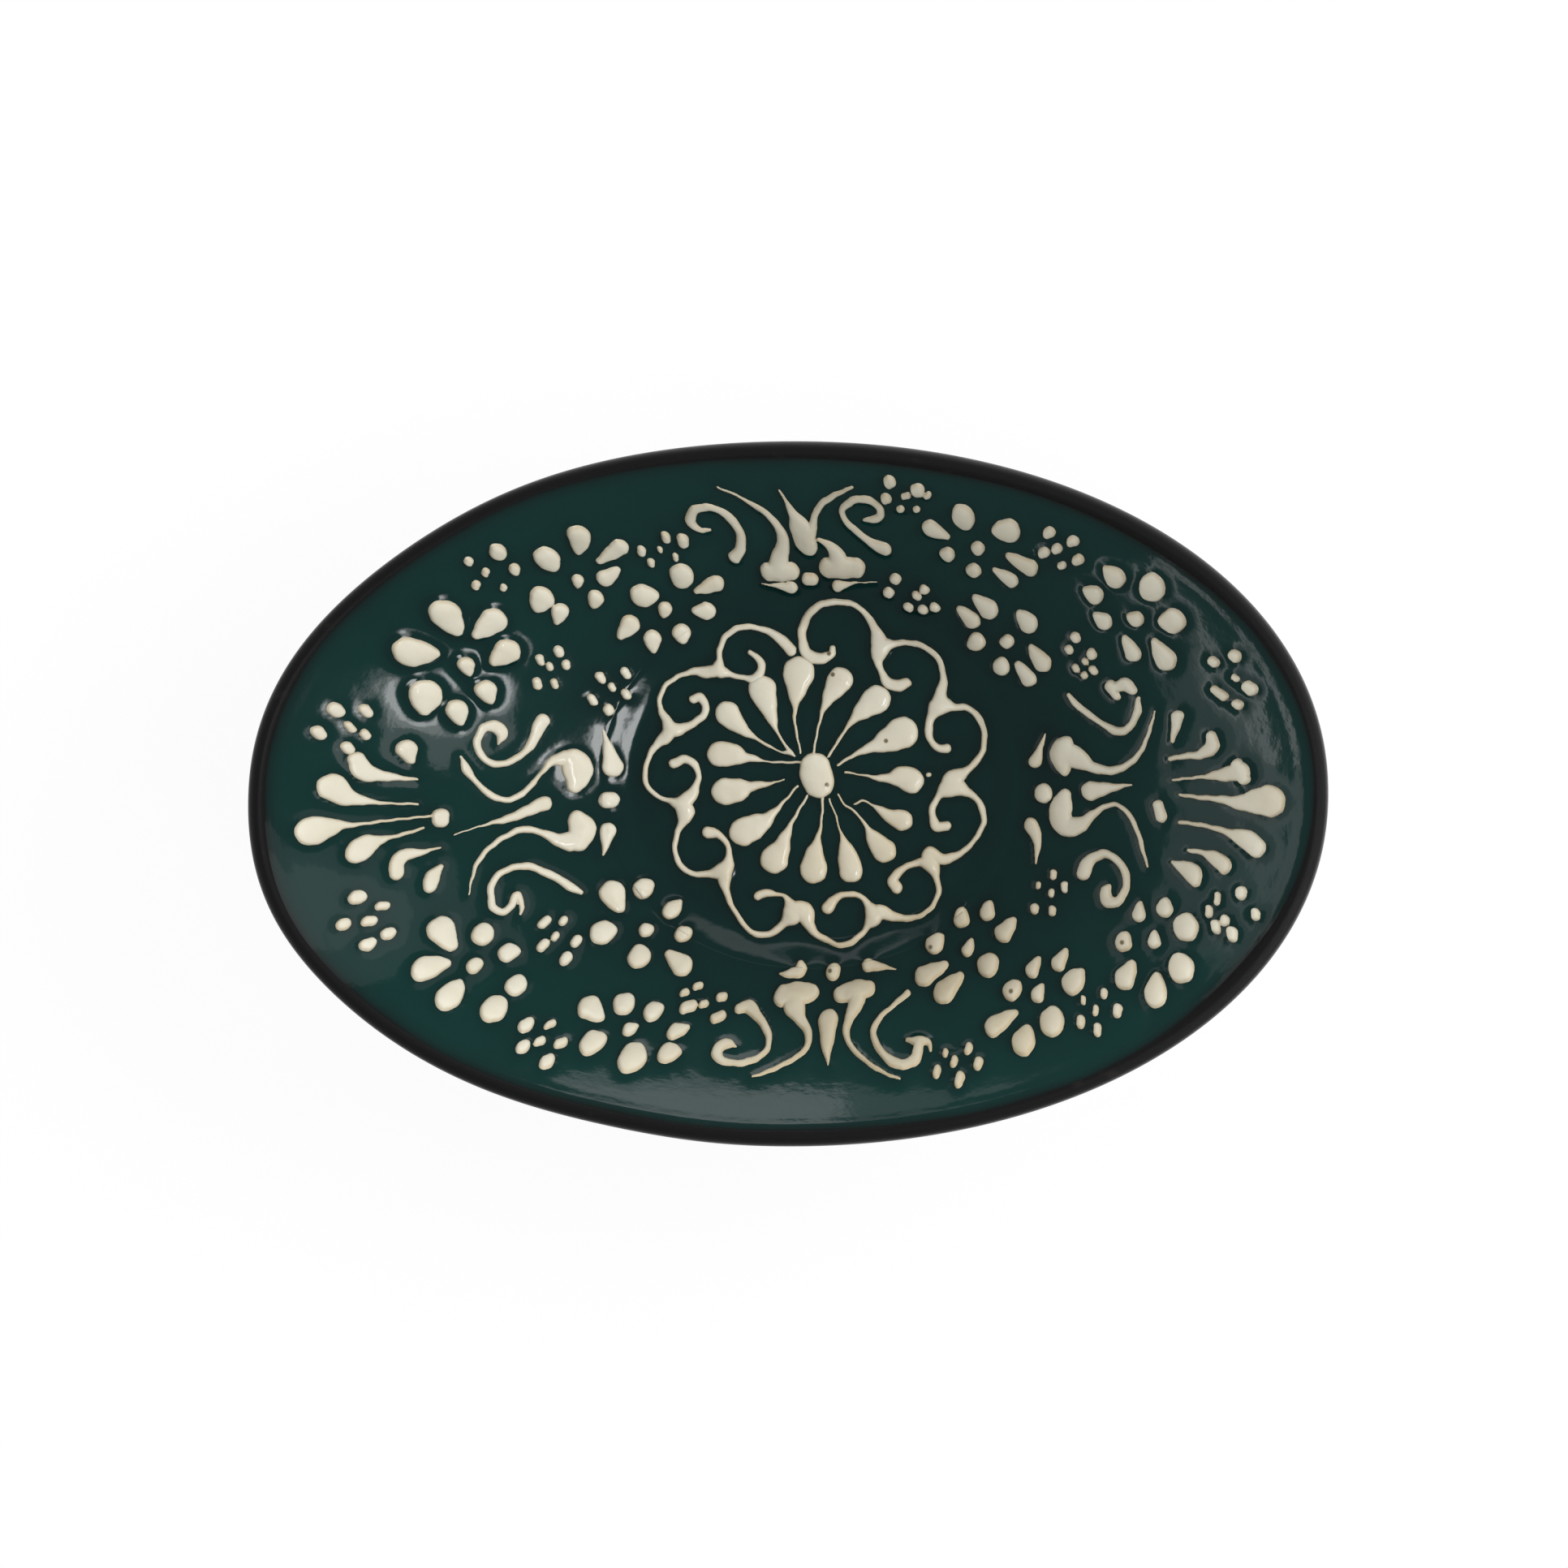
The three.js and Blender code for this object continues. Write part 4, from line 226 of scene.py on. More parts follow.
WREATH = (
    ((-2.8, 21.5, 1.9), (-4.5, 23.3, 1.7), (-6.5, 24.65, 1.2), (-8.3, 25.25, 1.1), (-10.3, 25.5, 1.1),
     (-12.1, 24.95, 1.1), (-13.5, 23.8, 1.1), (-14.4, 22.0, 1.1), (-14.55, 20.05, 1.2),
     (-14.7, 18.55, 2.2), (-12.85, 17.75, 1.2), (-10.6, 17.15, 1.0), (-8.8, 17.05, 1.6),
     (-7.75, 18.15, 1.4), (-7.7, 19.4, 1.3), (-8.5, 20.5, 1.2), (-9.5, 21.2, 1.0)),
    ((-14.7, 18.55, 2.2), (-16.5, 18.1, 2.0), (-18.3, 18.3, 1.5), (-20.1, 17.95, 1.0),
     (-22.1, 17.1, 1.0), (-23.7, 15.7, 1.0), (-24.45, 13.8, 1.0), (-24.3, 12.0, 1.1),
     (-23.35, 10.45, 1.6), (-22.6, 8.95, 2.6), (-20.75, 9.05, 1.7), (-18.7, 10.05, 1.3),
     (-17.2, 11.25, 1.3), (-17.05, 13.05, 1.4), (-18.05, 14.1, 1.5), (-19.0, 13.7, 1.4)),
    ((-22.6, 8.95, 2.6), (-23.5, 7.7, 2.2), (-24.9, 6.6, 1.5), (-26.05, 5.1, 1.1), (-26.8, 3.2, 1.0),
     (-27.1, 1.4, 1.0), (-26.65, -0.4, 1.0), (-25.5, -1.65, 1.0), (-23.0, -2.75, 1.1),
     (-21.2, -3.15, 2.4), (-19.6, -1.85, 2.2), (-18.6, -0.1, 1.2), (-18.3, 1.65, 1.1),
     (-18.85, 3.1, 1.3), (-20.35, 4.0, 1.5), (-22.4, 3.3, 1.6)),
    ((-21.2, -3.15, 2.4), (-20.5, -4.5, 3.0), (-21.0, -6.05, 1.7), (-21.85, -7.8, 1.1),
     (-22.3, -9.55, 1.0), (-22.25, -11.55, 1.0), (-21.5, -13.2, 1.0), (-20.05, -14.4, 1.1),
     (-18.25, -14.75, 1.1), (-16.25, -14.55, 1.6), (-14.25, -14.05, 2.8), (-13.55, -12.3, 1.5),
     (-13.5, -10.55, 1.0), (-14.3, -9.1, 1.2), (-15.6, -8.1, 1.5), (-16.9, -7.9, 2.0)),
    ((-14.25, -14.05, 2.8), (-14.3, -15.85, 2.0), (-14.0, -17.6, 1.3), (-13.4, -19.4, 1.0),
     (-12.4, -21.25, 1.0), (-11.2, -23.05, 1.0), (-9.85, -24.25, 1.1), (-8.1, -24.7, 1.2),
     (-6.3, -24.15, 1.3), (-4.65, -22.75, 1.5), (-3.2, -21.2, 3.2), (-3.75, -19.45, 1.6),
     (-4.65, -18.25, 0.9), (-5.85, -18.1, 0.9), (-7.4, -17.8, 1.4), (-8.8, -18.3, 1.5)),
    ((-3.2, -21.2, 3.2), (-1.65, -20.8, 3.4), (-0.55, -23.0, 2.0), (0.25, -24.3, 1.4),
     (2.2, -25.5, 1.1), (4.1, -26.35, 1.0), (5.65, -26.3, 1.1), (7.4, -25.2, 1.2), (8.9, -23.5, 1.2),
     (10.0, -21.6, 2.8), (9.2, -19.95, 1.4), (8.1, -18.65, 1.1), (6.35, -18.1, 1.1), (4.85, -18.3, 1.2),
     (3.3, -19.25, 1.6), (2.6, -20.3, 2.1)),
    ((10.0, -21.6, 2.8), (11.1, -21.1, 2.6), (12.8, -21.7, 1.7), (15.25, -22.1, 1.3),
     (17.4, -21.8, 1.0), (19.0, -20.85, 1.0), (20.2, -19.15, 1.0), (20.65, -17.25, 1.1),
     (20.2, -15.35, 1.2), (19.4, -13.4, 2.6), (17.65, -13.05, 1.4), (15.7, -13.6, 1.2),
     (14.1, -14.65, 1.4), (13.2, -16.15, 1.8), (13.8, -17.1, 2.0)),
    ((19.4, -13.4, 2.6), (19.2, -11.7, 2.4), (21.3, -12.55, 1.9), (23.7, -11.9, 1.3),
     (25.65, -10.5, 1.0), (27.15, -8.6, 1.0), (28.1, -6.55, 1.1), (27.85, -4.5, 1.2), (26.9, -2.8, 1.2),
     (25.3, -1.65, 1.6), (22.95, -0.8, 3.4), (21.0, -2.25, 1.3), (19.9, -3.95, 1.2), (19.8, -5.65, 1.3),
     (20.55, -7.3, 1.7), (22.0, -7.15, 1.6)),
    ((22.95, -0.8, 3.4), (23.1, 0.0, 3.4), (25.1, 1.5, 1.5), (26.75, 2.95, 1.2), (28.0, 4.75, 1.1),
     (28.4, 6.95, 1.1), (28.15, 9.05, 1.2), (27.1, 10.8, 1.2), (25.45, 11.9, 1.2), (23.45, 12.0, 1.4),
     (21.25, 12.3, 3.0), (19.8, 10.3, 1.5), (19.35, 8.35, 1.4), (19.75, 6.6, 1.2), (20.95, 5.4, 1.4),
     (22.3, 5.35, 1.5)),
    ((21.25, 12.3, 3.0), (21.3, 13.75, 2.2), (21.8, 15.7, 1.5), (21.75, 18.15, 1.1), (21.0, 20.25, 1.1),
     (19.6, 21.5, 1.1), (17.75, 22.35, 1.1), (15.8, 22.55, 1.1), (13.8, 22.35, 1.4), (11.8, 21.7, 3.0),
     (11.4, 19.5, 1.5), (11.95, 17.6, 1.2), (12.9, 16.05, 1.7), (14.75, 15.6, 2.0), (15.9, 16.0, 1.6)),
    ((11.8, 21.7, 3.0), (11.4, 23.5, 2.4), (10.9, 25.0, 1.5), (10.2, 26.5, 1.2), (9.1, 27.9, 1.1),
     (7.4, 29.0, 1.1), (5.2, 29.3, 1.2), (3.1, 29.1, 1.2), (1.1, 28.1, 1.3), (-0.1, 26.7, 1.4),
     (-0.9, 24.9, 1.5), (-0.9, 22.9, 1.5), (-0.3, 21.0, 1.8), (1.0, 20.2, 2.0), (2.5, 20.2, 1.8),
     (3.8, 20.9, 1.3), (4.0, 21.8, 1.1)),
)

TULIPS = (
    (
        ((0.9, 33.2, 2.1), (1.5, 33.2, 2.1)),
        ((-2.0, 31.9, 2.0), (-3.6, 32.1, 1.3), (-5.0, 32.3, 0.7), (-6.6, 32.5, 0.4)),
        ((5.5, 32.0, 1.9), (8.0, 32.4, 0.7), (12.0, 32.5, 0.3)),
        ((-10.1, 47.8, 0.5), (-7.7, 46.6, 0.6), (-5.4, 45.0, 0.9), (-3.6, 43.5, 1.1), (-2.4, 41.6, 1.5),
         (-2.0, 39.6, 1.9), (-2.9, 37.1, 2.6), (-3.5, 35.6, 3.2)),
        ((-5.1, 34.5, 3.0), (-3.5, 34.7, 3.4), (-1.8, 34.6, 3.0)),
        ((-0.7, 47.1, 0.5), (0.0, 44.9, 0.9), (0.55, 43.2, 1.8), (1.3, 41.0, 3.7), (1.6, 39.1, 3.5),
         (1.8, 38.4, 2.9)),
        ((10.9, 47.5, 0.6), (8.2, 46.5, 0.9), (5.8, 45.3, 1.1), (4.2, 43.8, 1.1), (3.4, 42.2, 1.3),
         (2.4, 40.2, 2.0)),
        ((3.8, 39.6, 0.8), (5.1, 38.6, 1.4), (6.2, 37.0, 2.6), (6.4, 35.6, 3.2)),
        ((4.5, 35.0, 3.2), (6.7, 35.1, 3.6), (8.9, 34.9, 3.2)),
    ),
    (
        ((3.6, -30.7, 2.4), (3.7, -30.3, 2.4)),
        ((-1.8, -29.2, 1.2), (-1.7, -30.2, 2.1), (-3.3, -30.8, 1.5), (-5.0, -30.8, 0.6)),
        ((9.4, -29.5, 2.2), (11.3, -29.7, 1.3), (13.0, -29.9, 0.7), (13.9, -30.0, 0.4)),
        ((-3.9, -34.1, 3.4), (-1.3, -33.8, 3.5), (0.4, -33.7, 2.6)),
        ((-2.1, -35.6, 3.4), (-0.75, -37.5, 1.8), (0.65, -39.2, 1.3), (1.0, -40.7, 1.2),
         (0.05, -42.3, 1.0), (-1.9, -43.4, 0.9), (-4.4, -44.5, 0.8), (-6.9, -45.2, 0.5)),
        ((5.2, -33.9, 2.4), (7.9, -33.4, 3.4), (9.7, -33.0, 2.4)),
        ((8.1, -34.6, 2.8), (7.3, -36.9, 1.8), (6.8, -38.8, 1.3), (7.4, -40.4, 1.1), (8.8, -41.9, 0.9),
         (11.0, -43.3, 0.8), (13.55, -44.5, 0.7), (16.6, -45.4, 0.5)),
        ((3.7, -37.6, 3.2), (3.9, -39.4, 2.6), (4.2, -41.6, 1.6), (4.7, -43.7, 0.4)),
    ),
    (
        ((-33.0, -2.4, 2.8), (-32.6, -2.4, 2.8)),
        ((-32.1, 2.9, 3.2), (-32.5, 5.0, 2.2), (-33.0, 7.2, 1.2), (-33.3, 8.9, 0.6)),
        ((-32.95, -7.3, 2.6), (-33.2, -9.0, 1.7), (-33.6, -11.2, 0.5)),
        ((-54.7, 5.4, 0.6), (-54.0, 3.4, 1.4), (-52.9, 1.6, 1.1), (-51.25, -0.3, 1.1),
         (-49.6, -1.5, 1.1), (-48.0, -1.8, 1.1), (-45.75, -0.8, 1.1), (-44.3, 0.7, 1.0),
         (-42.6, 2.75, 0.9), (-41.2, 4.2, 1.6), (-39.2, 4.6, 2.6)),
        ((-38.2, 4.6, 3.2), (-37.5, 3.0, 4.8), (-37.6, 1.2, 3.6), (-37.9, 0.2, 2.6)),
        ((-53.5, -16.7, 0.3), (-53.2, -14.4, 0.6), (-52.4, -11.6, 0.9), (-50.3, -9.0, 1.0),
         (-47.65, -7.3, 1.1), (-46.0, -6.65, 1.2), (-44.6, -6.8, 1.2), (-42.3, -7.6, 1.3),
         (-40.45, -8.6, 2.2), (-38.6, -8.9, 3.2)),
        ((-37.6, -5.4, 3.0), (-36.85, -6.9, 4.2), (-37.5, -8.8, 3.6)),
        ((-55.9, -7.05, 0.3), (-52.5, -6.0, 0.5), (-49.9, -5.3, 0.9), (-48.5, -5.0, 1.3),
         (-45.8, -4.0, 1.7), (-44.0, -3.2, 2.1), (-42.6, -2.6, 2.4)),
    ),
    (
        ((38.2, -1.9, 3.0), (38.2, -1.7, 3.0)),
        ((36.9, 3.3, 2.2), (37.6, 5.0, 1.3), (38.2, 6.6, 0.8), (38.7, 7.8, 0.4)),
        ((36.1, -6.9, 2.4), (36.95, -8.7, 1.8), (37.1, -11.0, 1.0), (36.8, -13.0, 0.5)),
        ((42.0, 6.2, 2.6), (41.6, 4.9, 4.2), (41.6, 2.8, 2.8), (41.8, 1.8, 1.6)),
        ((41.8, 4.6, 4.2), (44.0, 3.9, 3.4), (45.9, 2.7, 1.9), (47.8, 2.15, 1.6), (50.0, 2.1, 1.4),
         (52.1, 3.0, 1.2), (54.0, 4.7, 1.0), (55.3, 7.1, 0.8), (56.2, 9.6, 0.7), (56.8, 11.6, 0.4)),
        ((41.8, -2.0, 2.0), (41.25, -3.6, 3.4), (41.0, -5.5, 3.8), (42.0, -7.0, 3.4), (43.7, -6.9, 2.8),
         (45.1, -6.1, 2.0), (46.3, -5.0, 1.4), (47.1, -4.5, 1.2), (48.6, -3.6, 1.0), (49.9, -3.35, 0.9),
         (51.4, -4.0, 1.0), (52.7, -5.5, 0.9), (53.75, -7.7, 0.9), (54.65, -10.7, 0.8),
         (55.3, -12.9, 0.5)),
        ((46.0, -1.3, 3.1), (47.6, -1.0, 2.4), (48.8, -0.8, 1.8), (50.6, -0.5, 1.1),
         (52.7, -0.15, 0.5)),
    ),
)

SCROLLS = (
    (
        ((-13.1, 41.2, 0.6), (-14.6, 41.3, 1.0), (-15.8, 42.6, 1.6), (-14.8, 44.3, 1.4),
         (-12.9, 44.8, 1.2), (-10.8, 44.2, 1.2), (-9.3, 42.6, 1.4), (-8.6, 40.2, 1.5),
         (-9.2, 38.0, 1.7), (-10.2, 36.9, 2.0)),
    ),
    (
        ((14.2, 37.8, 2.1), (13.0, 38.3, 1.8), (11.3, 39.5, 1.3), (9.7, 41.0, 1.1), (8.5, 42.5, 1.1),
         (8.4, 43.9, 1.1), (9.9, 45.2, 1.2), (11.8, 45.7, 1.2), (13.6, 45.2, 1.2), (14.6, 43.9, 1.3),
         (14.3, 43.0, 1.3), (13.0, 42.5, 1.2), (11.6, 42.4, 0.6)),
    ),
    (
        ((42.7, 14.0, 0.9), (43.75, 12.7, 1.2), (45.4, 11.4, 1.1), (47.0, 10.2, 1.1), (48.9, 9.1, 1.2),
         (50.5, 8.3, 1.5), (52.0, 8.6, 1.4), (53.2, 9.9, 1.2), (53.95, 11.6, 1.4), (54.2, 13.7, 0.8)),
        ((50.7, 13.9, 1.4), (49.8, 15.6, 2.0)),
        ((50.4, 15.4, 1.7), (51.0, 15.6, 1.8), (52.3, 15.8, 2.2), (53.2, 15.0, 1.7)),
    ),
    (
        ((44.8, -14.4, 2.2), (45.2, -13.2, 2.2), (46.55, -11.8, 1.7), (48.3, -11.2, 1.5),
         (49.9, -11.8, 1.4), (51.1, -13.0, 1.3), (51.9, -14.8, 1.3), (51.6, -16.9, 1.3),
         (50.6, -18.4, 1.5), (48.9, -18.5, 2.1), (48.5, -17.4, 2.0), (49.0, -16.2, 1.0)),
    ),
    (
        ((-49.2, 7.3, 0.5), (-48.6, 9.1, 2.0), (-49.5, 10.1, 2.0), (-50.9, 10.1, 1.5),
         (-52.0, 8.6, 1.3), (-52.3, 7.2, 1.3), (-51.5, 5.2, 1.2), (-49.65, 4.0, 1.2), (-47.5, 4.4, 1.2),
         (-45.55, 5.65, 1.2), (-44.35, 7.0, 1.5), (-43.35, 9.2, 1.9), (-42.5, 10.8, 2.3)),
    ),
    (
        ((-37.0, -17.1, 1.0), (-38.4, -16.25, 1.4), (-40.35, -14.85, 1.4), (-42.45, -13.7, 1.3),
         (-45.0, -12.6, 1.3), (-47.1, -12.7, 1.2), (-49.1, -13.6, 1.2), (-50.15, -14.9, 1.2),
         (-50.3, -17.0, 1.2), (-49.85, -18.9, 1.2), (-48.4, -19.65, 1.3), (-47.3, -18.8, 1.3),
         (-46.55, -17.0, 1.2), (-45.7, -18.9, 1.0), (-45.8, -20.1, 0.6)),
    ),
    (
        ((-10.9, -35.9, 1.5), (-9.7, -35.5, 1.9), (-7.8, -36.9, 1.6), (-6.1, -38.8, 1.3),
         (-5.4, -40.1, 1.1), (-5.5, -41.7, 1.1), (-6.6, -42.7, 1.1), (-8.5, -43.3, 1.1),
         (-11.0, -43.3, 1.0), (-12.8, -42.6, 1.4), (-13.3, -41.7, 1.8), (-12.8, -41.0, 1.7),
         (-11.5, -40.8, 1.3), (-10.4, -41.1, 0.5)),
    ),
    (
        ((16.2, -33.6, 1.2), (14.9, -34.7, 1.0), (13.1, -36.2, 0.9), (11.7, -37.7, 1.1),
         (11.3, -39.3, 1.2), (12.1, -40.9, 1.2), (13.6, -42.3, 1.2), (15.7, -43.4, 1.5),
         (17.5, -43.4, 1.5), (18.8, -42.6, 1.8), (19.0, -41.4, 1.7), (18.9, -40.4, 1.4)),
        ((17.0, -40.2, 0.8), (18.9, -40.4, 1.4), (20.6, -40.5, 1.1), (21.0, -41.5, 0.6)),
    ),
)

FANS = {
    "left": (
        ((-57.9, -4.6, 2.6), (-57.9, -4.0, 2.6)),
        ((-62.4, 7.0, 3.1), (-62.0, 5.3, 1.6)),
        ((-69.3, 5.6, 2.6), (-68.4, 3.7, 3.0), (-66.5, 3.0, 2.0), (-64.0, 2.5, 1.2),
         (-61.1, 2.05, 0.6)),
        ((-72.7, 1.5, 4.2), (-71.0, -0.1, 3.0), (-69.1, -0.8, 1.7), (-66.35, -1.4, 0.8),
         (-61.15, -1.9, 0.6)),
        ((-75.4, -5.3, 4.6), (-73.9, -5.0, 3.6), (-72.0, -4.7, 1.8), (-69.8, -4.7, 0.9),
         (-66.4, -4.4, 0.7), (-62.3, -4.1, 0.6), (-59.3, -3.9, 0.6)),
        ((-69.4, -9.1, 3.4), (-68.6, -8.3, 3.6), (-67.05, -7.5, 2.0), (-65.3, -7.1, 1.0),
         (-62.8, -6.5, 0.8), (-60.3, -5.8, 0.6)),
        ((-63.9, -12.8, 2.0), (-64.0, -11.4, 2.2), (-63.1, -10.0, 2.1), (-61.15, -9.7, 1.4),
         (-59.5, -9.4, 0.8), (-57.9, -9.0, 0.5)),
        ((-57.8, -12.1, 1.0), (-59.0, -13.9, 2.3), (-59.1, -15.2, 1.9)),
    ),
    "right": (
        ((57.1, -3.3, 1.8), (57.6, -5.1, 1.8)),
        ((60.5, 10.9, 2.0), (60.0, 8.6, 1.3), (59.5, 6.9, 0.8)),
        ((65.9, 7.8, 1.8), (66.0, 6.4, 2.3), (64.2, 5.0, 1.6), (61.5, 4.6, 1.1), (59.1, 4.1, 0.9)),
        ((70.1, 3.5, 2.0), (71.1, 1.4, 2.0)),
        ((70.6, 2.5, 3.0), (67.9, 1.9, 2.2), (65.0, 1.5, 1.0), (59.5, 0.8, 0.6)),
        ((75.0, -1.9, 5.0), (72.9, -2.1, 3.8), (70.2, -2.4, 2.3), (67.3, -2.0, 1.3), (63.6, -1.8, 0.9),
         (60.7, -1.5, 0.7)),
        ((60.6, -5.8, 0.8), (63.9, -6.1, 0.9), (66.5, -6.55, 1.0), (69.1, -7.3, 1.6), (71.4, -8.1, 3.2),
         (72.8, -9.1, 3.2)),
        ((62.1, -10.1, 0.8), (64.7, -10.5, 1.2), (66.75, -11.4, 2.4), (67.7, -12.2, 2.4),
         (67.65, -13.1, 1.2)),
        ((59.5, -12.1, 0.8), (61.3, -12.9, 2.2), (62.7, -13.7, 3.0), (63.1, -15.0, 1.6)),
    ),
}


# Soft boxes that face the bowl: name, direction and height in degrees, distance in metres, width and height
# in metres, brightness where 1 is white, roll in degrees and outline.
LAMPS = (
    ("right strip", -41, 42.8, 1.0, (0.20, 0.07), 3.0, 31, "ELLIPSE"),
    ("right strip veil", -39, 43.6, 1.02, (0.34, 0.12), 1.7, 31, "ELLIPSE"),
    ("right strip glow", -35, 45, 1.04, (0.58, 0.17), 0.9, 31, "ELLIPSE"),
    ("high box", -30, 63.5, 0.9, (0.26, 0.10), 5.0, 0, "ELLIPSE"),
    ("high box veil", -30, 63.5, 0.92, (0.36, 0.14), 2.0, 0, "ELLIPSE"),
    ("left card", 178, 31.4, 0.9, (1.26, 0.15), 0.32, 0, "ELLIPSE"),
    ("left card foot", 178, 28.4, 0.9, (2.4, 0.05), 0.32, 2, "RECTANGLE"),
    ("left card edge", -147, 24.2, 0.89, (0.72, 0.016), 1.2, -13, "RECTANGLE"),
    ("far card", 80, 11.2, 0.9, (1.5, 0.30), 0.44, 0, "RECTANGLE"),
    ("far card glow", 82, 18.2, 0.92, (0.6, 0.14), 0.9, 0, "ELLIPSE"),
    ("far box", 95, 62, 0.9, (0.60, 0.07), 0.35, 0, "ELLIPSE"),
    ("far box glow", 95, 62, 0.92, (0.76, 0.13), 0.25, 0, "ELLIPSE"),
    ("far right card", 28, 38, 0.9, (0.8, 0.4), 0.25, 0, "ELLIPSE"),
    ("far right card glow", 28, 38, 0.92, (0.5, 0.24), 0.25, 0, "ELLIPSE"),
    ("key", 14, 38, 0.9, (0.50, 0.40), 7.6, 0, "RECTANGLE"),
    ("left fill", 180, 10, 0.9, (0.80, 0.20), 5.0, 0, "RECTANGLE"),
    ("far fill", 100, 12, 0.9, (0.80, 0.20), 3.4, 0, "RECTANGLE"),
)

# Lamps that light the bowl and aren't mirrored in it.
UNMIRRORED = ("key", "left fill", "far fill")

# Height above the table that the lamps face.
LAMP_AIM = 0.035

# Brightness of the white room: as light, in reflections and to the camera.
ROOM_LIGHT, ROOM_MIRRORED, ROOM_SEEN = 0.56, 0.16, 1.0


def metres(name, description, default):
    """A length of the model, as a property in metres."""
    return FloatProperty(name=name, description=description, default=default, unit="LENGTH")


def tint(name, description, default):
    """A colour of the model, as a property."""
    return FloatVectorProperty(
        name=name, description=description, default=(*default, 1), size=4, subtype="COLOR", min=0, max=1
    )


class BowlShape(bpy.types.PropertyGroup):
    """Sizes of the bowl's walls, well and foot."""

    length: metres("Length", "Long way of the lip", 0.168)
    width: metres("Width", "Short way of the lip", 0.109)
    height: metres("Height", "Table to the crest of the lip", 0.048)
    oval_power: FloatProperty(
        name="Oval power", description="2 is an ellipse, more is squarer", default=2.08
    )
    lip_width: metres("Lip width", "Across the lip", 0.0034)
    lip_round: metres("Lip round", "Height of the lip's rounding", 0.0015)
    band_drop: metres("Band drop", "Black band down the outside", 0.0046)
    well_length: metres("Well length", "Long way of the well", 0.068)
    well_width: metres("Well width", "Short way of the well", 0.060)
    step_run: metres("Step run", "Width of the soft step", 0.005)
    step_rise: metres("Step rise", "Height of the soft step", 0.0026)
    floor_height: metres("Floor", "Height of the well's floor", 0.009)
    foot_length: metres("Foot length", "Long way of the foot", 0.072)
    foot_width: metres("Foot width", "Short way of the foot", 0.064)
    foot_height: metres("Foot height", "Height of the foot ring", 0.004)
    foot_wall: metres("Foot wall", "Thickness of the foot ring", 0.005)
    bare_foot: metres("Bare foot", "Unglazed height of the foot", 0.0015)
    inside_bow: FloatVectorProperty(
        name="Inside bow", description="Run and rise shares", size=2, default=(0.62, 0.36)
    )
    outside_bow: FloatVectorProperty(
        name="Outside bow", description="Run and rise shares", size=2, default=(0.61, 0.31)
    )
    segments: IntProperty(name="Segments", description="Mesh columns round the oval", default=480, min=48)


class SlipShape(bpy.types.PropertyGroup):
    """How the slip stands on the glaze and how the glaze climbs to it."""

    rise: metres("Rise", "Greatest height of a line of slip", 0.00085)
    slope: FloatProperty(name="Slope", description="Height of a thin line over its width", default=0.34)
    crown: FloatProperty(name="Crown", description="Share that a round drop stands higher", default=0.25)
    cell: metres("Cell", "Grid step of the slip's mesh", 0.00016)
    meniscus: metres("Meniscus", "Climb of the glaze beside slip", 0.00016)
    creep: metres("Creep", "How far from the slip it climbs", 0.0007)
    wave: metres("Wave", "Unevenness of the glaze", 0.000012)


class BowlColours(bpy.types.PropertyGroup):
    """Colours of the glazes, the slip and the clay."""

    green: tint("Green", "Green glaze where it is thin", (0.0026, 0.0265, 0.0235))
    green_pool: tint("Green pool", "Green glaze where it gathers", (0.0018, 0.0135, 0.0128))
    green_edge: tint("Green edge", "Green glaze beside the band", (0.004, 0.0045, 0.0045))
    black: tint("Black", "Black glaze of the lip", (0.004, 0.004, 0.0045))
    black_thin: tint("Thin black", "Black glaze where it is thin", (0.014, 0.012, 0.009))
    # Lighter black for the lip's outer side: a painted reflection of the bright room on the rounded lip,
    # not a colour of the glaze.
    black_painted_reflection: tint("Outer black", "Black glaze on the outside", (0.024, 0.024, 0.025))
    cream: tint("Cream", "Slip where it is thick", (0.68, 0.645, 0.53))
    tan: tint("Tan", "Slip where it is thin", (0.50, 0.415, 0.27))
    pit: tint("Pit", "Pits in the slip", (0.16, 0.13, 0.07))
    clay: tint("Clay", "Bare clay", (0.45, 0.26, 0.15))
    clay_grain: tint("Clay grain", "Light grains of the clay", (0.6, 0.38, 0.23))


class BowlStage(bpy.types.PropertyGroup):
    """Camera of the photograph."""

    distance: metres("Distance", "Camera to the lip's plane", 0.75)
    lens: FloatProperty(name="Lens", description="Focal length in millimetres", default=111.8)
    lean: FloatVectorProperty(
        name="Lean", description="Camera's lean to +X and +Y in degrees", size=2, default=(7.4, 3.0)
    )
    roll: FloatProperty(name="Roll", description="Camera's roll in degrees", default=0.9)
    shift: FloatVectorProperty(
        name="Shift", description="Lens shift as shares", size=2, default=(0.00285, 0.0075)
    )


def bowed(start, end, bow, u):
    """A quadratic curve from start to end: run and rise each 2u(1-u) times their share plus u squared."""
    along = 2 * u * (1 - u) * bow[0] + u * u
    up = 2 * u * (1 - u) * bow[1] + u * u
    share = np.stack([along, along, up], axis=-1)
    return np.asarray(start) + (np.asarray(end) - np.asarray(start)) * share


def shoulder(shape):
    """Half axes and height at the top of the well's step."""
    return shape.well_length / 2, shape.well_width / 2, shape.floor_height + shape.step_rise


def lip_inside(shape):
    """Half axes and height where the wall meets the lip inside."""
    return (
        shape.length / 2 - shape.lip_width,
        shape.width / 2 - shape.lip_width,
        shape.height - shape.lip_round,
    )


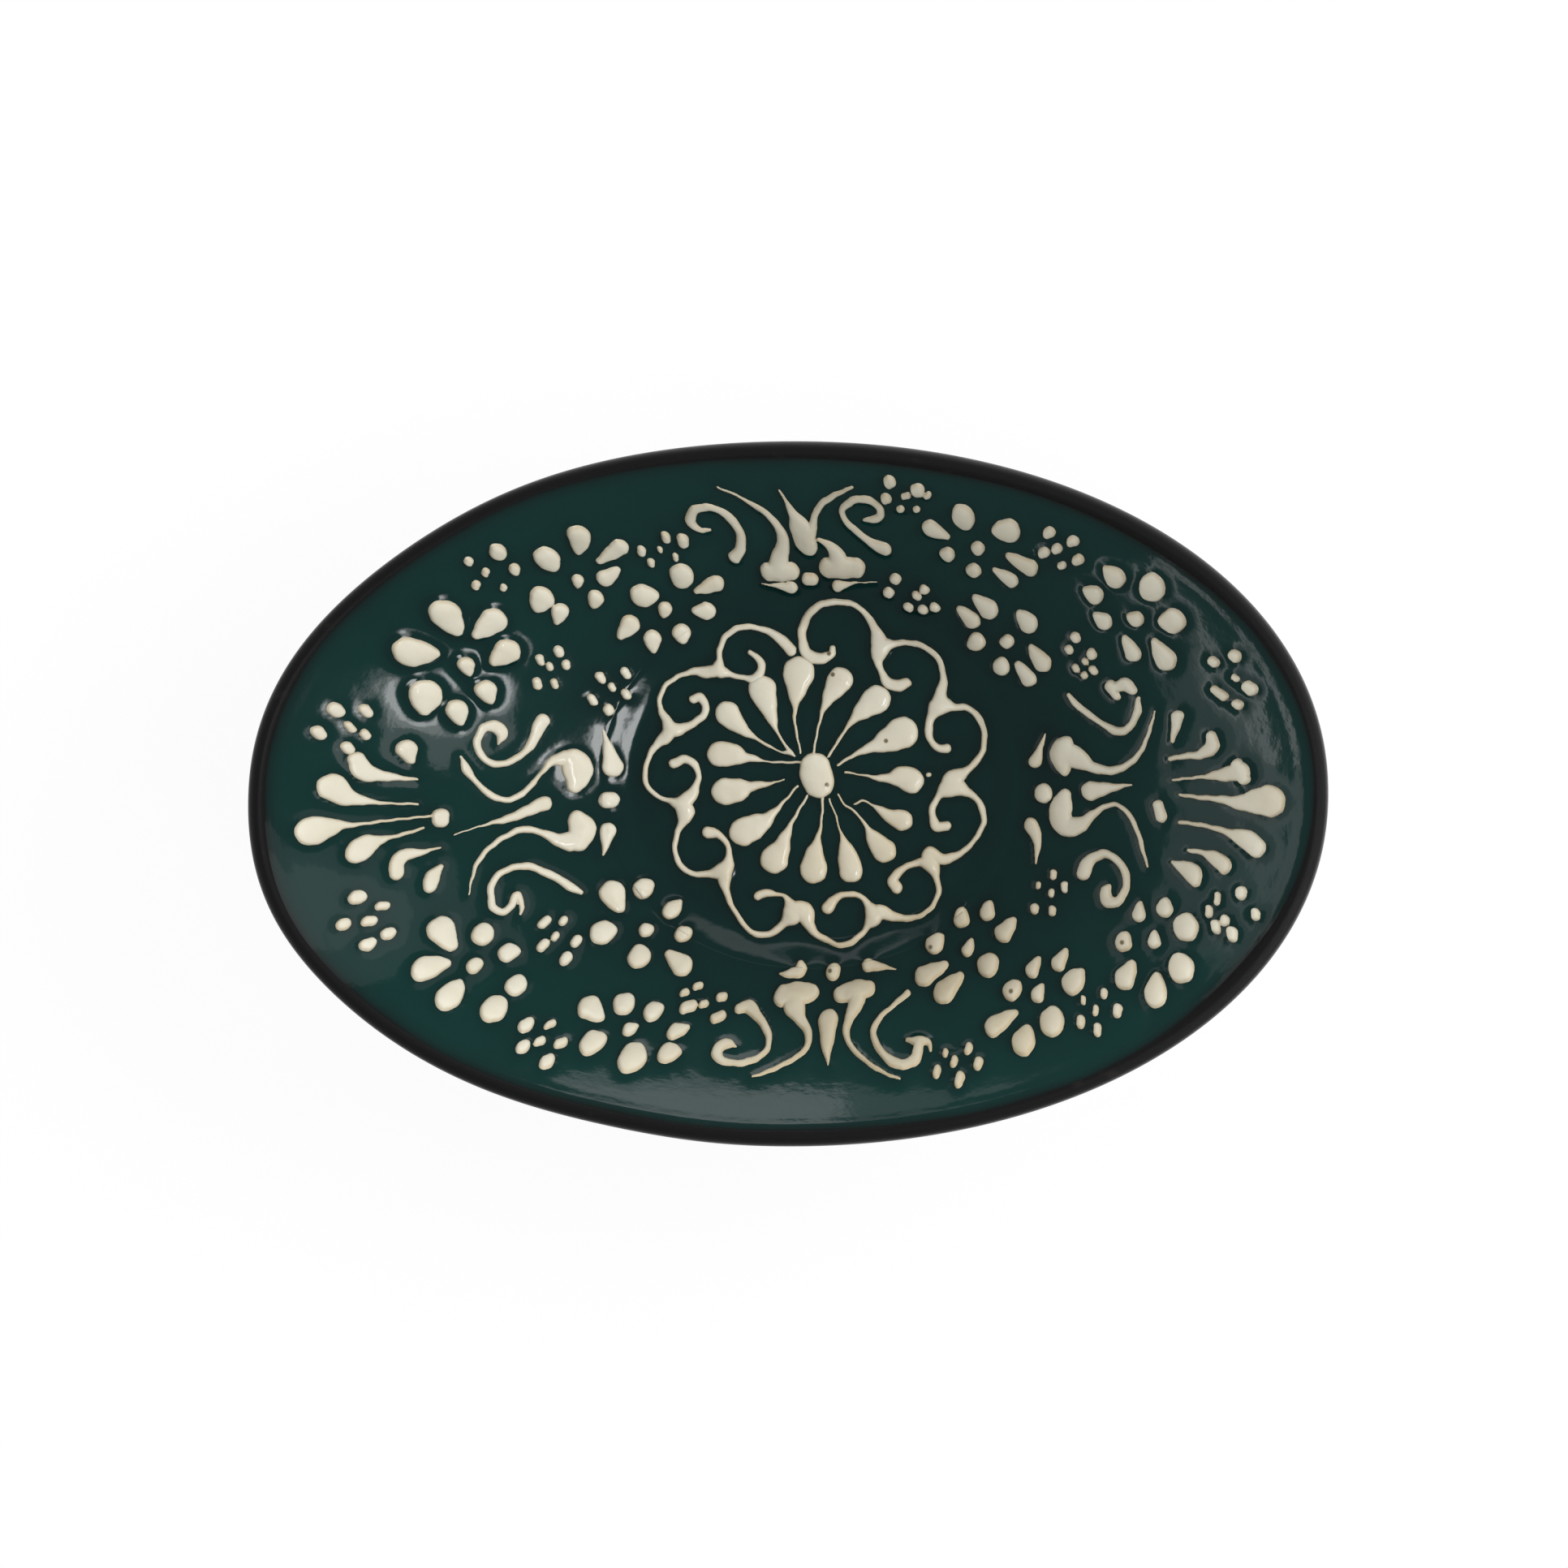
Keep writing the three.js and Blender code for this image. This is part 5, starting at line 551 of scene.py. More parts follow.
def inside_levels(shape, t):
    """Half axes, height and hand share of the inside at t: 0 to 1 the floor, to 2 the eased step, to 3 the
    wall."""
    t = np.asarray(t, float)
    floor = np.clip(t, 0, 1)
    step = np.clip(t - 1, 0, 1)
    wall = np.clip(t - 2, 0, 1)
    a, b, z = shoulder(shape)
    low = np.stack(
        [
            (a - shape.step_run) * floor + shape.step_run * step,
            (b - shape.step_run) * floor + shape.step_run * step,
            shape.floor_height + shape.step_rise * step * step * (3 - 2 * step),
        ],
        axis=-1,
    )
    high = bowed((a, b, z), lip_inside(shape), shape.inside_bow, wall)
    return np.where((t > 2)[..., None], high, low), wall


def rim_levels(shape, p):
    """Half axes, height and hand share over the lip: p up to 1 is the wall, 1 to 1.5 a quadratic curve to
    the crest, 1.5 to 2 another to the outer edge."""
    p = np.asarray(p, float)
    wall, share = inside_levels(shape, 2 + np.clip(p, 0, 1))
    u = np.clip(2 * (p - 1), 0, 1)
    v = np.clip(2 * (p - 1.5), 0, 1)
    inset = shape.lip_width * ((1 - u) ** 2 + 2 * u * (1 - u) * 0.74 + u * u * 0.5)
    inset = np.where(p > 1.5, shape.lip_width * 0.5 * (1 - v) ** 2, inset)
    drop = np.where(p > 1.5, v * v + 0.2 * v * (1 - v), (1 - u) ** 2)
    top = shape.height - shape.lip_round * drop
    lip = np.stack([shape.length / 2 - inset, shape.width / 2 - inset, top], axis=-1)
    over = p > 1
    return np.where(over[..., None], lip, wall), np.where(over, 1.0, share)


def eased(normal, limit):
    """Normals laid flatter: a slope s becomes s / (1 + (s / limit) ** 1.2) ** (1 / 1.2)."""
    slope = np.hypot(normal[..., 0], normal[..., 1]) / np.maximum(normal[..., 2], 0.05)
    share = 1 / (1 + (slope / limit) ** 1.2) ** (1 / 1.2)
    flat = normal * np.stack([share, share, np.ones(share.shape)], axis=-1)
    return flat / np.linalg.norm(flat, axis=-1, keepdims=True)


def hand(x, y, share):
    """Factor by which the hand marks move the wall in a direction, for a share from 0 to 1 of a mark."""
    direction = np.degrees(np.arctan2(y, x))
    factor = np.ones(np.broadcast(x, share).shape)
    for depth, angle, spread in HAND_MARKS:
        off = (direction - angle + 180) % 360 - 180
        factor = factor + depth * share * np.exp(-((off / spread) ** 2))
    return factor


def ring_points(shape, levels, share):
    """Points of every level (half axes a, b and height) at every column: a superellipse, moved by the hand
    marks."""
    turn = np.linspace(0, 2 * np.pi, shape.segments, endpoint=False)
    bend = 2 / shape.oval_power
    across = np.sign(np.cos(turn)) * np.abs(np.cos(turn)) ** bend
    along = np.sign(np.sin(turn)) * np.abs(np.sin(turn)) ** bend
    if levels.ndim == 2:
        levels, share = levels[:, None], share[:, None]
    x = levels[..., 0] * across
    y = levels[..., 1] * along
    factor = hand(x, y, share)
    z = np.broadcast_to(levels[..., 2], x.shape)
    return np.stack([x * factor, y * factor, z], axis=-1)


def inside_height(shape, x, y):
    """Height of the inside over plan points: the level whose oval passes through them, found by halving."""
    low = np.zeros(x.shape)
    high = np.full(x.shape, 3.0)
    for _ in range(34):
        middle = (low + high) / 2
        level, share = inside_levels(shape, middle)
        factor = hand(x, y, share)
        a = level[..., 0] * factor + 1e-9
        b = level[..., 1] * factor + 1e-9
        within = np.abs(x / a) ** shape.oval_power + np.abs(y / b) ** shape.oval_power < 1
        high = np.where(within, middle, high)
        low = np.where(within, low, middle)
    return inside_levels(shape, (low + high) / 2)[0][..., 2]


def seat(shape, x, y):
    """Points of the inside over plan points and its normals there, from height differences over 0.2 mm."""
    reach = 0.2 * MM
    z = inside_height(shape, x, y)
    tilt_x = (inside_height(shape, x + reach, y) - inside_height(shape, x - reach, y)) / (2 * reach)
    tilt_y = (inside_height(shape, x, y + reach) - inside_height(shape, x, y - reach)) / (2 * reach)
    normal = np.stack([-tilt_x, -tilt_y, np.ones(x.shape)], axis=-1)
    normal /= np.linalg.norm(normal, axis=-1, keepdims=True)
    return np.stack([x, y, z], axis=-1), normal


def mesh_piece(name, points, faces, look, marks=None, normals=None):
    """A smooth mesh object from points and faces, with point attributes and normals, riding on the bowl."""
    mesh = bpy.data.meshes.new(name)
    mesh.from_pydata(points, [], faces)
    for mark, values in (marks or {}).items():
        layer = mesh.attributes.new(mark, "FLOAT", "POINT")
        layer.data.foreach_set("value", np.ascontiguousarray(values, np.float32))
    mesh.polygons.foreach_set("use_smooth", np.ones(len(mesh.polygons), bool))
    if normals is not None:
        mesh.normals_split_custom_set_from_vertices(normals)
    mesh.materials.append(look)
    piece = bpy.data.objects.new(name, mesh)
    bpy.context.collection.objects.link(piece)
    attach(piece, "root")
    return piece


def ring_faces(rows, columns):
    """Quads between rows of points that run round the oval, facing up where the rows go outwards."""
    row = np.arange(rows - 1)[:, None] * columns
    column = np.arange(columns)[None, :]
    after = (column + 1) % columns
    quads = np.stack([row + column, row + columns + column, row + columns + after, row + after], axis=-1)
    return quads.reshape(-1, 4).tolist()


def grid_normals(points):
    """Normals of a grid of points that closes round the oval, from the differences both ways."""
    along = np.gradient(points, axis=0)
    round_way = np.roll(points, -1, axis=1) - np.roll(points, 1, axis=1)
    normal = np.cross(along, round_way)
    return normal / np.maximum(np.linalg.norm(normal, axis=-1, keepdims=True), 1e-12)


def smoothed(stations, step):
    """Discs along a line of slip: a cubic through its stations, tangents from the neighbours, one disc each
    step. Lines under a millimetre wide dried thinner than they were laid."""
    spots = np.array(stations, float) * MM
    run = np.concatenate([[0], np.cumsum(np.hypot(*np.diff(spots[:, :2], axis=0).T))])
    tangent = np.gradient(spots, run, axis=0)
    where = np.linspace(0, run[-1], max(int(run[-1] / step), 2))
    cell = np.clip(np.searchsorted(run, where, side="right") - 1, 0, len(run) - 2)
    span = (run[cell + 1] - run[cell])[:, None]
    s = (where - run[cell])[:, None] / span
    start = (2 * s**3 - 3 * s**2 + 1) * spots[cell] + (s**3 - 2 * s**2 + s) * span * tangent[cell]
    end = (3 * s**2 - 2 * s**3) * spots[cell + 1] + (s**3 - s**2) * span * tangent[cell + 1]
    discs = start + end
    thin = 1 - 0.45 * np.exp(-((discs[:, 2] / (0.9 * MM)) ** 2))
    discs[:, 2] = np.maximum(discs[:, 2] * thin / 2, 0.13 * MM)
    return discs


def drop_line(head_x, head_y, tip_x, tip_y, width):
    """A drop as a line: a full disc at the head, one of 0.4 of the width that ends at the tip, and one half
    way that is a little wider than their mean."""
    far = max(np.hypot(tip_x - head_x, tip_y - head_y), 0.55 * width)
    share = (far - 0.2 * width) / max(np.hypot(tip_x - head_x, tip_y - head_y), 1e-6)
    end = (head_x + (tip_x - head_x) * share, head_y + (tip_y - head_y) * share, 0.4 * width)
    head = (head_x, head_y, width)
    middle = tuple((np.array(head) + np.array(end)) / 2 + np.array((0, 0, 0.06 * width)))
    return head, middle, end


def dot_line(lean, x, y, width, length):
    """A small drop as a line: two discs whose joint length lies along the lean in degrees."""
    half = max(length - width, 0.05) / 2
    dx, dy = half * np.cos(np.radians(lean)), half * np.sin(np.radians(lean))
    return (x - dx, y - dy, width * 0.96), (x + dx, y + dy, width)


def motifs():
    """Every motif's node name and its lines."""
    drawn = {"rosette": ROSETTE, "wreath": WREATH}
    for i, lines in enumerate(TULIPS):
        drawn[f"tulip_{i + 1}"] = lines
    for i, lines in enumerate(SCROLLS):
        drawn[f"scroll_{i + 1}"] = lines
    for side, lines in FANS.items():
        drawn[f"fan_{side}"] = lines
    for i, drops in enumerate(FLOWERS):
        drawn[f"flower_{i + 1:02d}"] = [drop_line(*drop) for drop in drops]
    for i, (lean, dots) in enumerate(DOTS):
        drawn[f"dots_{i + 1:02d}"] = [dot_line(lean, *dot) for dot in dots]
    return drawn


def window(discs, xs, ys, margin):
    """Slices of a plan grid that hold some discs and a margin round them."""
    low = (discs[:, :2] - discs[:, 2:]).min(0) - margin
    high = (discs[:, :2] + discs[:, 2:]).max(0) + margin
    return (
        slice(*np.searchsorted(ys, (low[1], high[1]))),
        slice(*np.searchsorted(xs, (low[0], high[0]))),
    )


def wobbled(x, y):
    """Plan points moved a few hundredths of a millimetre by sines of 1 to 3 mm, for the uneven edge of
    trailed slip."""
    turn_x, turn_y = 2 * np.pi * x / MM, 2 * np.pi * y / MM
    moved_x = x + MM * (0.05 * np.sin(turn_y / 2.9 + turn_x / 7) + 0.01 * np.sin(turn_y / 1.2 + turn_x / 3))
    moved_y = y + MM * (0.05 * np.sin(turn_x / 2.6 + turn_y / 6) + 0.01 * np.sin(turn_x / 1.1 + turn_y / 4))
    return moved_x, moved_y


def depth_inside(discs, x, y):
    """How far plan points lie inside a line of discs (negative outside), and how far from every disc."""
    far = np.hypot(x[..., None] - discs[:, 0], y[..., None] - discs[:, 1])
    return (discs[:, 2] - far).max(-1), far


def slip_piece(name, lines, shape, slip, look):
    """One motif of slip on a plan grid: each disc a half ellipsoid, lines joined smoothly, the outline
    moved onto its zero line, and all of it laid on the glaze along the normal."""
    cell = slip.cell
    strands = [smoothed(line, 0.9 * cell) for line in lines]
    every = np.concatenate(strands)
    low = (every[:, :2] - every[:, 2:]).min(0) - 6 * cell
    high = (every[:, :2] + every[:, 2:]).max(0) + 6 * cell
    xs = np.arange(low[0], high[0], cell)
    ys = np.arange(low[1], high[1], cell)
    gx, gy = np.meshgrid(xs, ys)
    rise = np.zeros(gx.shape)
    inside = np.full(gx.shape, -6 * cell)
    for discs in strands:
        part = window(discs, xs, ys, 5 * cell)
        depth, far = depth_inside(discs, *wobbled(gx[part], gy[part]))
        reach = np.hypot(*(discs[-1, :2] - discs[0, :2])) / discs[:, 2].max()
        crown = 1 + slip.crown * np.exp(-((reach / 3) ** 2))
        peak = crown * slip.rise * (1 - np.exp(-2 * discs[:, 2] * slip.slope / slip.rise * 1.25))
        dome = (peak * np.sqrt(np.clip(1 - (far / discs[:, 2]) ** 2, 0, None))).max(-1)
        rise[part] = (rise[part] ** 6 + dome**6) ** (1 / 6)
        inside[part] = np.maximum(inside[part], depth)
    slope_y, slope_x = np.gradient(inside, cell)
    steep = np.maximum(slope_x**2 + slope_y**2, 0.2)
    out = inside <= 0
    gx = np.where(out, gx - inside * slope_x / steep, gx)
    gy = np.where(out, gy - inside * slope_y / steep, gy)
    corners = ~out
    kept = corners[:-1, :-1] | corners[1:, :-1] | corners[:-1, 1:] | corners[1:, 1:]
    number = np.arange(gx.size).reshape(gx.shape)
    quads = np.stack([number[:-1, :-1], number[:-1, 1:], number[1:, 1:], number[1:, :-1]], axis=-1)[kept]
    used, faces = np.unique(quads, return_inverse=True)
    x, y = gx.ravel()[used], gy.ravel()[used]
    lift = np.where(out.ravel()[used], -0.05 * MM, rise.ravel()[used])
    place, normal = seat(shape, x, y)
    climb = climb_of(slip, pooling(shape, slip, x, y))
    points = place + normal * (lift + climb)[:, None]
    marks = {"edge": np.clip(inside.ravel()[used], 0, None) / MM}
    piece = mesh_piece(f"slip_{name}", points, faces.reshape(-1, 4).tolist(), look, marks)
    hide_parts(name)
    return piece


def pool_map(shape, slip):
    """A plan grid of how much glaze gathers: the sum over all lines of slip of exp(-distance / creep)."""
    step = 0.25 * MM
    xs = np.arange(-shape.length / 2, shape.length / 2 + step, step)
    ys = np.arange(-shape.width / 2, shape.width / 2 + step, step)
    gx, gy = np.meshgrid(xs, ys)
    total = np.zeros(gx.shape)
    for name, lines in motifs().items():
        thick = THICK_GLAZE.get(name, 1.0)
        for line in lines:
            discs = smoothed(line, 0.3 * MM)
            part = window(discs, xs, ys, 5 * slip.creep)
            depth, _ = depth_inside(discs, gx[part], gy[part])
            total[part] += thick * np.exp(np.minimum(depth, 0) / slip.creep)
    return xs, ys, step, total


# The gathered glaze, worked out once.
POOLS = {}


def pooling(shape, slip, x, y):
    """The gathered glaze at plan points, read between the grid's corners."""
    if "map" not in POOLS:
        POOLS["map"] = pool_map(shape, slip)
    xs, ys, step, total = POOLS["map"]
    across = np.clip((x - xs[0]) / step, 0, len(xs) - 1.001)
    along = np.clip((y - ys[0]) / step, 0, len(ys) - 1.001)
    i, j = across.astype(int), along.astype(int)
    u, v = across - i, along - j
    lower = total[j, i] * (1 - u) + total[j, i + 1] * u
    upper = total[j + 1, i] * (1 - u) + total[j + 1, i + 1] * u
    return lower * (1 - v) + upper * v


def climb_of(slip, pool):
    """How high the glaze climbs where it gathers: in proportion, up to three lines' worth."""
    return slip.meniscus * np.minimum(pool, 3.0)


def waves(x, y):
    """Slow unevenness: the sum of five sines of 7 to 19 mm in different directions, longer ones higher."""
    total = 0
    sines = ((19, 20, 0.3), (13, 95, 1.9), (11, 150, 4.0), (8.5, 55, 2.6), (7, 120, 5.1))
    for length, angle, phase in sines:
        way = x * np.cos(np.radians(angle)) + y * np.sin(np.radians(angle))
        total = total + np.sin(2 * np.pi * way / (length * MM) + phase) * length / 19
    return total / 2


class Shade:
    """A value in a material's nodes. Arithmetic on it adds math nodes; node() adds any other node."""

    def __init__(self, tree, socket=None):
        self.tree = tree
        self.socket = socket

    def node(self, kind, output=0, inputs=None, **settings):
        """A new node: its settings first, then the values or links of its sockets."""
        made = self.tree.nodes.new(kind)
        for key, value in settings.items():
            setattr(made, key, value)
        for key, value in (inputs or {}).items():
            if isinstance(value, Shade):
                self.tree.links.new(value.socket, made.inputs[key])
            else:
                made.inputs[key].default_value = value
        return Shade(self.tree, made.outputs[output])

    def math(self, operation, *values):
        """A Math node on values."""
        return self.node("ShaderNodeMath", inputs=dict(enumerate(values)), operation=operation)

    def __add__(self, other):
        return self.math("ADD", self, other)

    def __sub__(self, other):
        return self.math("SUBTRACT", self, other)

    def __rsub__(self, other):
        return self.math("SUBTRACT", other, self)

    def __mul__(self, other):
        return self.math("MULTIPLY", self, other)

    __radd__ = __add__
    __rmul__ = __mul__

    def clamp(self):
        """The value held between 0 and 1."""
        return self.node("ShaderNodeClamp", inputs={0: self})

    def ramp(self, low, high):
        """A smooth step from 0 at low to 1 at high."""
        limits = {0: self, 1: low, 2: high}
        return self.node("ShaderNodeMapRange", inputs=limits, interpolation_type="SMOOTHSTEP")

    def mix(self, first, second):
        """A colour between two, by this value."""
        return self.node("ShaderNodeMix", output=2, inputs={0: self, 6: first, 7: second}, data_type="RGBA")

    def mark(self, name):
        """A point attribute of the piece."""
        return self.node("ShaderNodeAttribute", output="Fac", attribute_name=name)

    def noise(self, scale, detail):
        """Noise in the piece's own coordinates."""
        place = self.node("ShaderNodeTexCoord", output="Object")
        return self.node("ShaderNodeTexNoise", inputs={"Vector": place, "Scale": scale, "Detail": detail})

    def distance(self, x, y):
        """The distance in plan from a spot that is given in millimetres."""
        place = self.node("ShaderNodeTexCoord", output="Object")
        flat = self.node("ShaderNodeVectorMath", inputs={0: place, 1: (1, 1, 0)}, operation="MULTIPLY")
        ends = {0: flat, 1: (x * MM, y * MM, 0)}
        return self.node("ShaderNodeVectorMath", output="Value", inputs=ends, operation="DISTANCE")

    def height(self):
        """The height above the table."""
        place = self.node("ShaderNodeTexCoord", output="Object")
        return self.node("ShaderNodeSeparateXYZ", output="Z", inputs={0: place})

    def bump(self, strength, distance):
        """A normal bent by this value as a height."""
        sockets = {"Height": self, "Strength": strength, "Distance": distance}
        return self.node("ShaderNodeBump", inputs=sockets)


def material(name, **constants):
    """A new material, its Principled node and a Shade to build values with."""
    made = bpy.data.materials.new(name)
    made.use_nodes = True
    shader = made.node_tree.nodes["Principled BSDF"]
    for key, value in constants.items():
        shader.inputs[key.replace("_", " ")].default_value = value
    return made, shader, Shade(made.node_tree)


def feed(shader, **values):
    """Links values to a Principled node's inputs."""
    for key, value in values.items():
        value.tree.links.new(value.socket, shader.inputs[key.replace("_", " ")])


def green_glaze(colours):
    """Deep blue-green gloss: darker in pools and in the well, faintly mottled."""
    made, shader, shade = material("green glaze", Roughness=0.07, IOR=1.5)
    pool = shade.mark("pool").clamp()
    low = 1 - shade.height().ramp(0.009, 0.024)
    mottle = shade.noise(90, 4.0)
    dark = (pool * 0.55 + low * 0.6 + (mottle - 0.5) * 0.7).clamp()
    edge = (shade.mark("near") * (0.7 + mottle * 0.6)).clamp()
    colour = dark.mix(colours.green, colours.green_pool)
    colour = edge.mix(colour, colours.green_edge)
    feed(shader, Base_Color=colour, Normal=shade.noise(420, 2.0).bump(0.05, 0.0004))
    return made


def black_glaze(colours):
    """Black gloss of the lip, a little thin and brownish in places, and lighter on the lip's outer side as
    a painted reflection.
    """
    made, shader, shade = material("black glaze", Roughness=0.5, IOR=1.4)
    thin = shade.noise(260, 5.0).ramp(0.62, 0.8)
    colour = thin.mix(colours.black, colours.black_thin)
    outer = shade.mark("outer")
    # Painted reflection: the lip's outer side is painted a lighter black, as if it mirrored the bright
    # room; it is also made glossier.
    colour = outer.mix(colour, colours.black_painted_reflection)
    feed(shader, Base_Color=colour, Roughness=0.5 - outer * 0.25)
    return made


def cream_slip(colours):
    """Cream slip under clear gloss: tan where thin at the edge, cream on top, with a few pits."""
    made, shader, shade = material("cream slip", Roughness=0.12, IOR=1.5)
    thin = 1 - shade.mark("edge").ramp(0.0, 0.5)
    blotch = shade.noise(130, 4.0)
    warm = 1 - shade.distance(15, -35).ramp(0.0, 0.06)
    tan = (thin * 0.6 + (blotch - 0.45) * 1.0 + warm * 0.55).clamp()
    colour = tan.mix(colours.cream, colours.tan)
    pit = shade.distance(*PITS[0])
    for place in PITS[1:]:
        pit = shade.math("MINIMUM", pit, shade.distance(*place))
    colour = pit.ramp(0.0002, 0.0005).mix(colours.pit, colour)
    feed(shader, Base_Color=colour, Normal=shade.noise(700, 3.0).bump(0.12, 0.0005))
    return made


def bare_clay(colours):
    """Bare fired clay of the foot: matte and grainy."""
    made, shader, shade = material("bare clay", Roughness=0.85)
    grain = shade.noise(900, 5.0)
    colour = grain.mix(colours.clay, colours.clay_grain)
    feed(shader, Base_Color=colour, Normal=grain.bump(0.3, 0.0005))
    return made


def white_floor():
    """White to the camera, with a faint shadow kept."""
    made, shader, shade = material("white floor", Base_Color=(0.9, 0.9, 0.9, 1), Roughness=0.9)
    ray = shade.node("ShaderNodeLightPath", output="Is Camera Ray")
    glow = shade.node("ShaderNodeEmission", inputs={"Color": (1, 1, 1, 1), "Strength": 1.0})
    lit = Shade(made.node_tree, shader.outputs[0])
    mixed = shade.node("ShaderNodeMixShader", inputs={0: ray * 0.92, 1: lit, 2: glow})
    made.node_tree.links.new(mixed.socket, made.node_tree.nodes["Material Output"].inputs["Surface"])
    return made


def finish_named(name, maker):
    """The material of that name, made the first time it is asked for."""
    return bpy.data.materials.get(name) or maker(bpy.context.scene.bowl_colours)


def ring_piece(name, shape, levels, share, look, marks=None, cap=False):
    """A piece swept round the oval from levels, with an end point in the middle if it is capped."""
    points = ring_points(shape, levels, share)
    rows, columns = points.shape[:2]
    faces = ring_faces(rows, columns)
    flat = points.reshape(-1, 3)
    if cap:
        middle = len(flat)
        flat = np.vstack([flat, [[0, 0, levels[-1, 2]]]])
        last = (rows - 1) * columns
        faces += [[last + (i + 1) % columns, last + i, middle] for i in range(columns)]
    piece = mesh_piece(name, flat, faces, look, marks)
    return piece


def outside_levels(shape, v):
    """Half axes, height and hand share of the outside at v: 0 at the foot to 1 at the lip."""
    foot = (shape.foot_length / 2, shape.foot_width / 2, shape.foot_height)
    lip = (shape.length / 2, shape.width / 2, shape.height - shape.lip_round)
    return bowed(foot, lip, shape.outside_bow, v), v


def band_end(shape):
    """Where along the outside the black band ends."""
    v = np.linspace(0, 1, 2001)
    z = outside_levels(shape, v)[0][:, 2]
    return v[np.searchsorted(z, shape.height - shape.band_drop)]


def band_edge(shape):
    """Where on the lip the painted band starts in each column, as rim_levels counts it: uneven by a few
    sines and by the brush marks."""
    turn = np.linspace(0, 2 * np.pi, shape.segments, endpoint=False)
    brush = 0.5 * np.sin(3 * turn + 0.6) + 0.35 * np.sin(7 * turn + 2) + 0.25 * np.sin(13 * turn)
    shy = 0.18 * brush + 0.75
    for depth, angle, spread in BRUSH_MARKS:
        off = (np.degrees(turn) - angle + 180) % 360 - 180
        shy = shy + depth * np.exp(-((off / spread) ** 2))
    return 1 + np.where(shy < 0, shy / WALL_RUN, shy / LIP_RUN)


class BOWL_OT_inner_glaze(bpy.types.Operator):
    """Builds the glaze inside, which climbs beside every line of slip"""

    bl_idname = "bowl.inner_glaze"
    bl_label = "Inner glaze"

    def execute(self, context):
        shape, slip = context.scene.bowl_shape, context.scene.bowl_slip
        floor = np.linspace(0.02, 1, 36)
        step = np.linspace(1, 2, 26)[1:]
        wall = np.linspace(2, 3, 110)[1:]
        over = np.linspace(1, 1.5, LIP_ROWS + 1)[1:]
        t = np.concatenate([floor, step, wall])
        levels, share = inside_levels(shape, t)
        lip, lip_share = rim_levels(shape, over)
        points = ring_points(shape, np.vstack([levels, lip]), np.append(share, lip_share))
        normal = grid_normals(points)
        x, y = points[..., 0], points[..., 1]
        pool = pooling(shape, slip, x, y)
        row = np.append(t, np.full(LIP_ROWS, 3.0))[:, None]
        calm = np.minimum(row, 1)
        sink = np.clip((row - 2.95) / 0.04, 0, 1) * BAND_SINK
        climb = climb_of(slip, pool) + slip.wave * waves(x, y) * calm - sink
        points = points + normal * climb[..., None]
        limit = np.where(row < 2, WELL_SLOPE, WALL_SLOPE)
        bent = eased(normal, limit) + grid_normals(points) - normal
        bent[-LIP_ROWS:] = bent[-LIP_ROWS - 1]
        bent /= np.linalg.norm(bent, axis=-1, keepdims=True)
        count = np.concatenate([t - 2, over])[:, None]
        below = np.where(count < 1, (1 - count) * WALL_RUN, 0)
        inward = np.clip(band_edge(shape) - np.maximum(count, 1), 0, None) * LIP_RUN
        near = np.exp(-(below + inward) / BAND_FADE)
        rows, columns = x.shape
        piece = mesh_piece(
            "glaze_inside",
            points.reshape(-1, 3),
            ring_faces(rows, columns),
            finish_named("green glaze", green_glaze),
            {"pool": pool.ravel(), "near": near.ravel()},
            bent.reshape(-1, 3),
        )
        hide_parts("inner_glaze")
        return {"FINISHED"}


class BOWL_OT_outer_glaze(bpy.types.Operator):
    """Builds the glaze outside, from under the lip's band to the foot"""

    bl_idname = "bowl.outer_glaze"
    bl_label = "Outer glaze"

    def execute(self, context):
        shape = context.scene.bowl_shape
        levels, share = outside_levels(shape, np.linspace(band_end(shape) + 0.01, 0, 70))
        a, b, _ = levels[-1]
        foot = np.array([[a - FOOT_TAPER, b - FOOT_TAPER, shape.bare_foot]])
        levels = np.vstack([levels, foot])
        share = np.append(share, 0)
        look = finish_named("green glaze", green_glaze)
        piece = ring_piece("glaze_outside", shape, levels, share, look)
        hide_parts("outer_glaze")
        return {"FINISHED"}


class BOWL_OT_rim_band(bpy.types.Operator):
    """Builds the black band over the rounded lip, its inner edge painted by hand"""

    bl_idname = "bowl.rim_band"
    bl_label = "Lip band"

    def execute(self, context):
        shape = context.scene.bowl_shape
        edge = band_edge(shape)
        inner = edge + (2 - edge) * (np.linspace(0, 1, 22) ** 1.3)[:, None]
        inner_levels, inner_share = rim_levels(shape, inner)
        outer, outer_share = outside_levels(shape, np.linspace(1, band_end(shape), 8)[1:])
        columns = shape.segments
        levels = np.vstack([inner_levels, np.repeat(outer[:, None], columns, axis=1)])
        share = np.vstack([inner_share, np.repeat(outer_share[:, None], columns, axis=1)])
        # Share on the lip's outer side, where the black is painted lighter as a painted reflection and made
        # glossier.
        outside = np.vstack([np.clip((inner - 1.6) / 0.3, 0, 1), np.ones((len(outer), columns))])
        look = finish_named("black glaze", black_glaze)
        marks = {"outer": outside.ravel()}
        piece = ring_piece("lip_band", shape, levels, share, look, marks)
        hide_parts("rim_band")
        return {"FINISHED"}


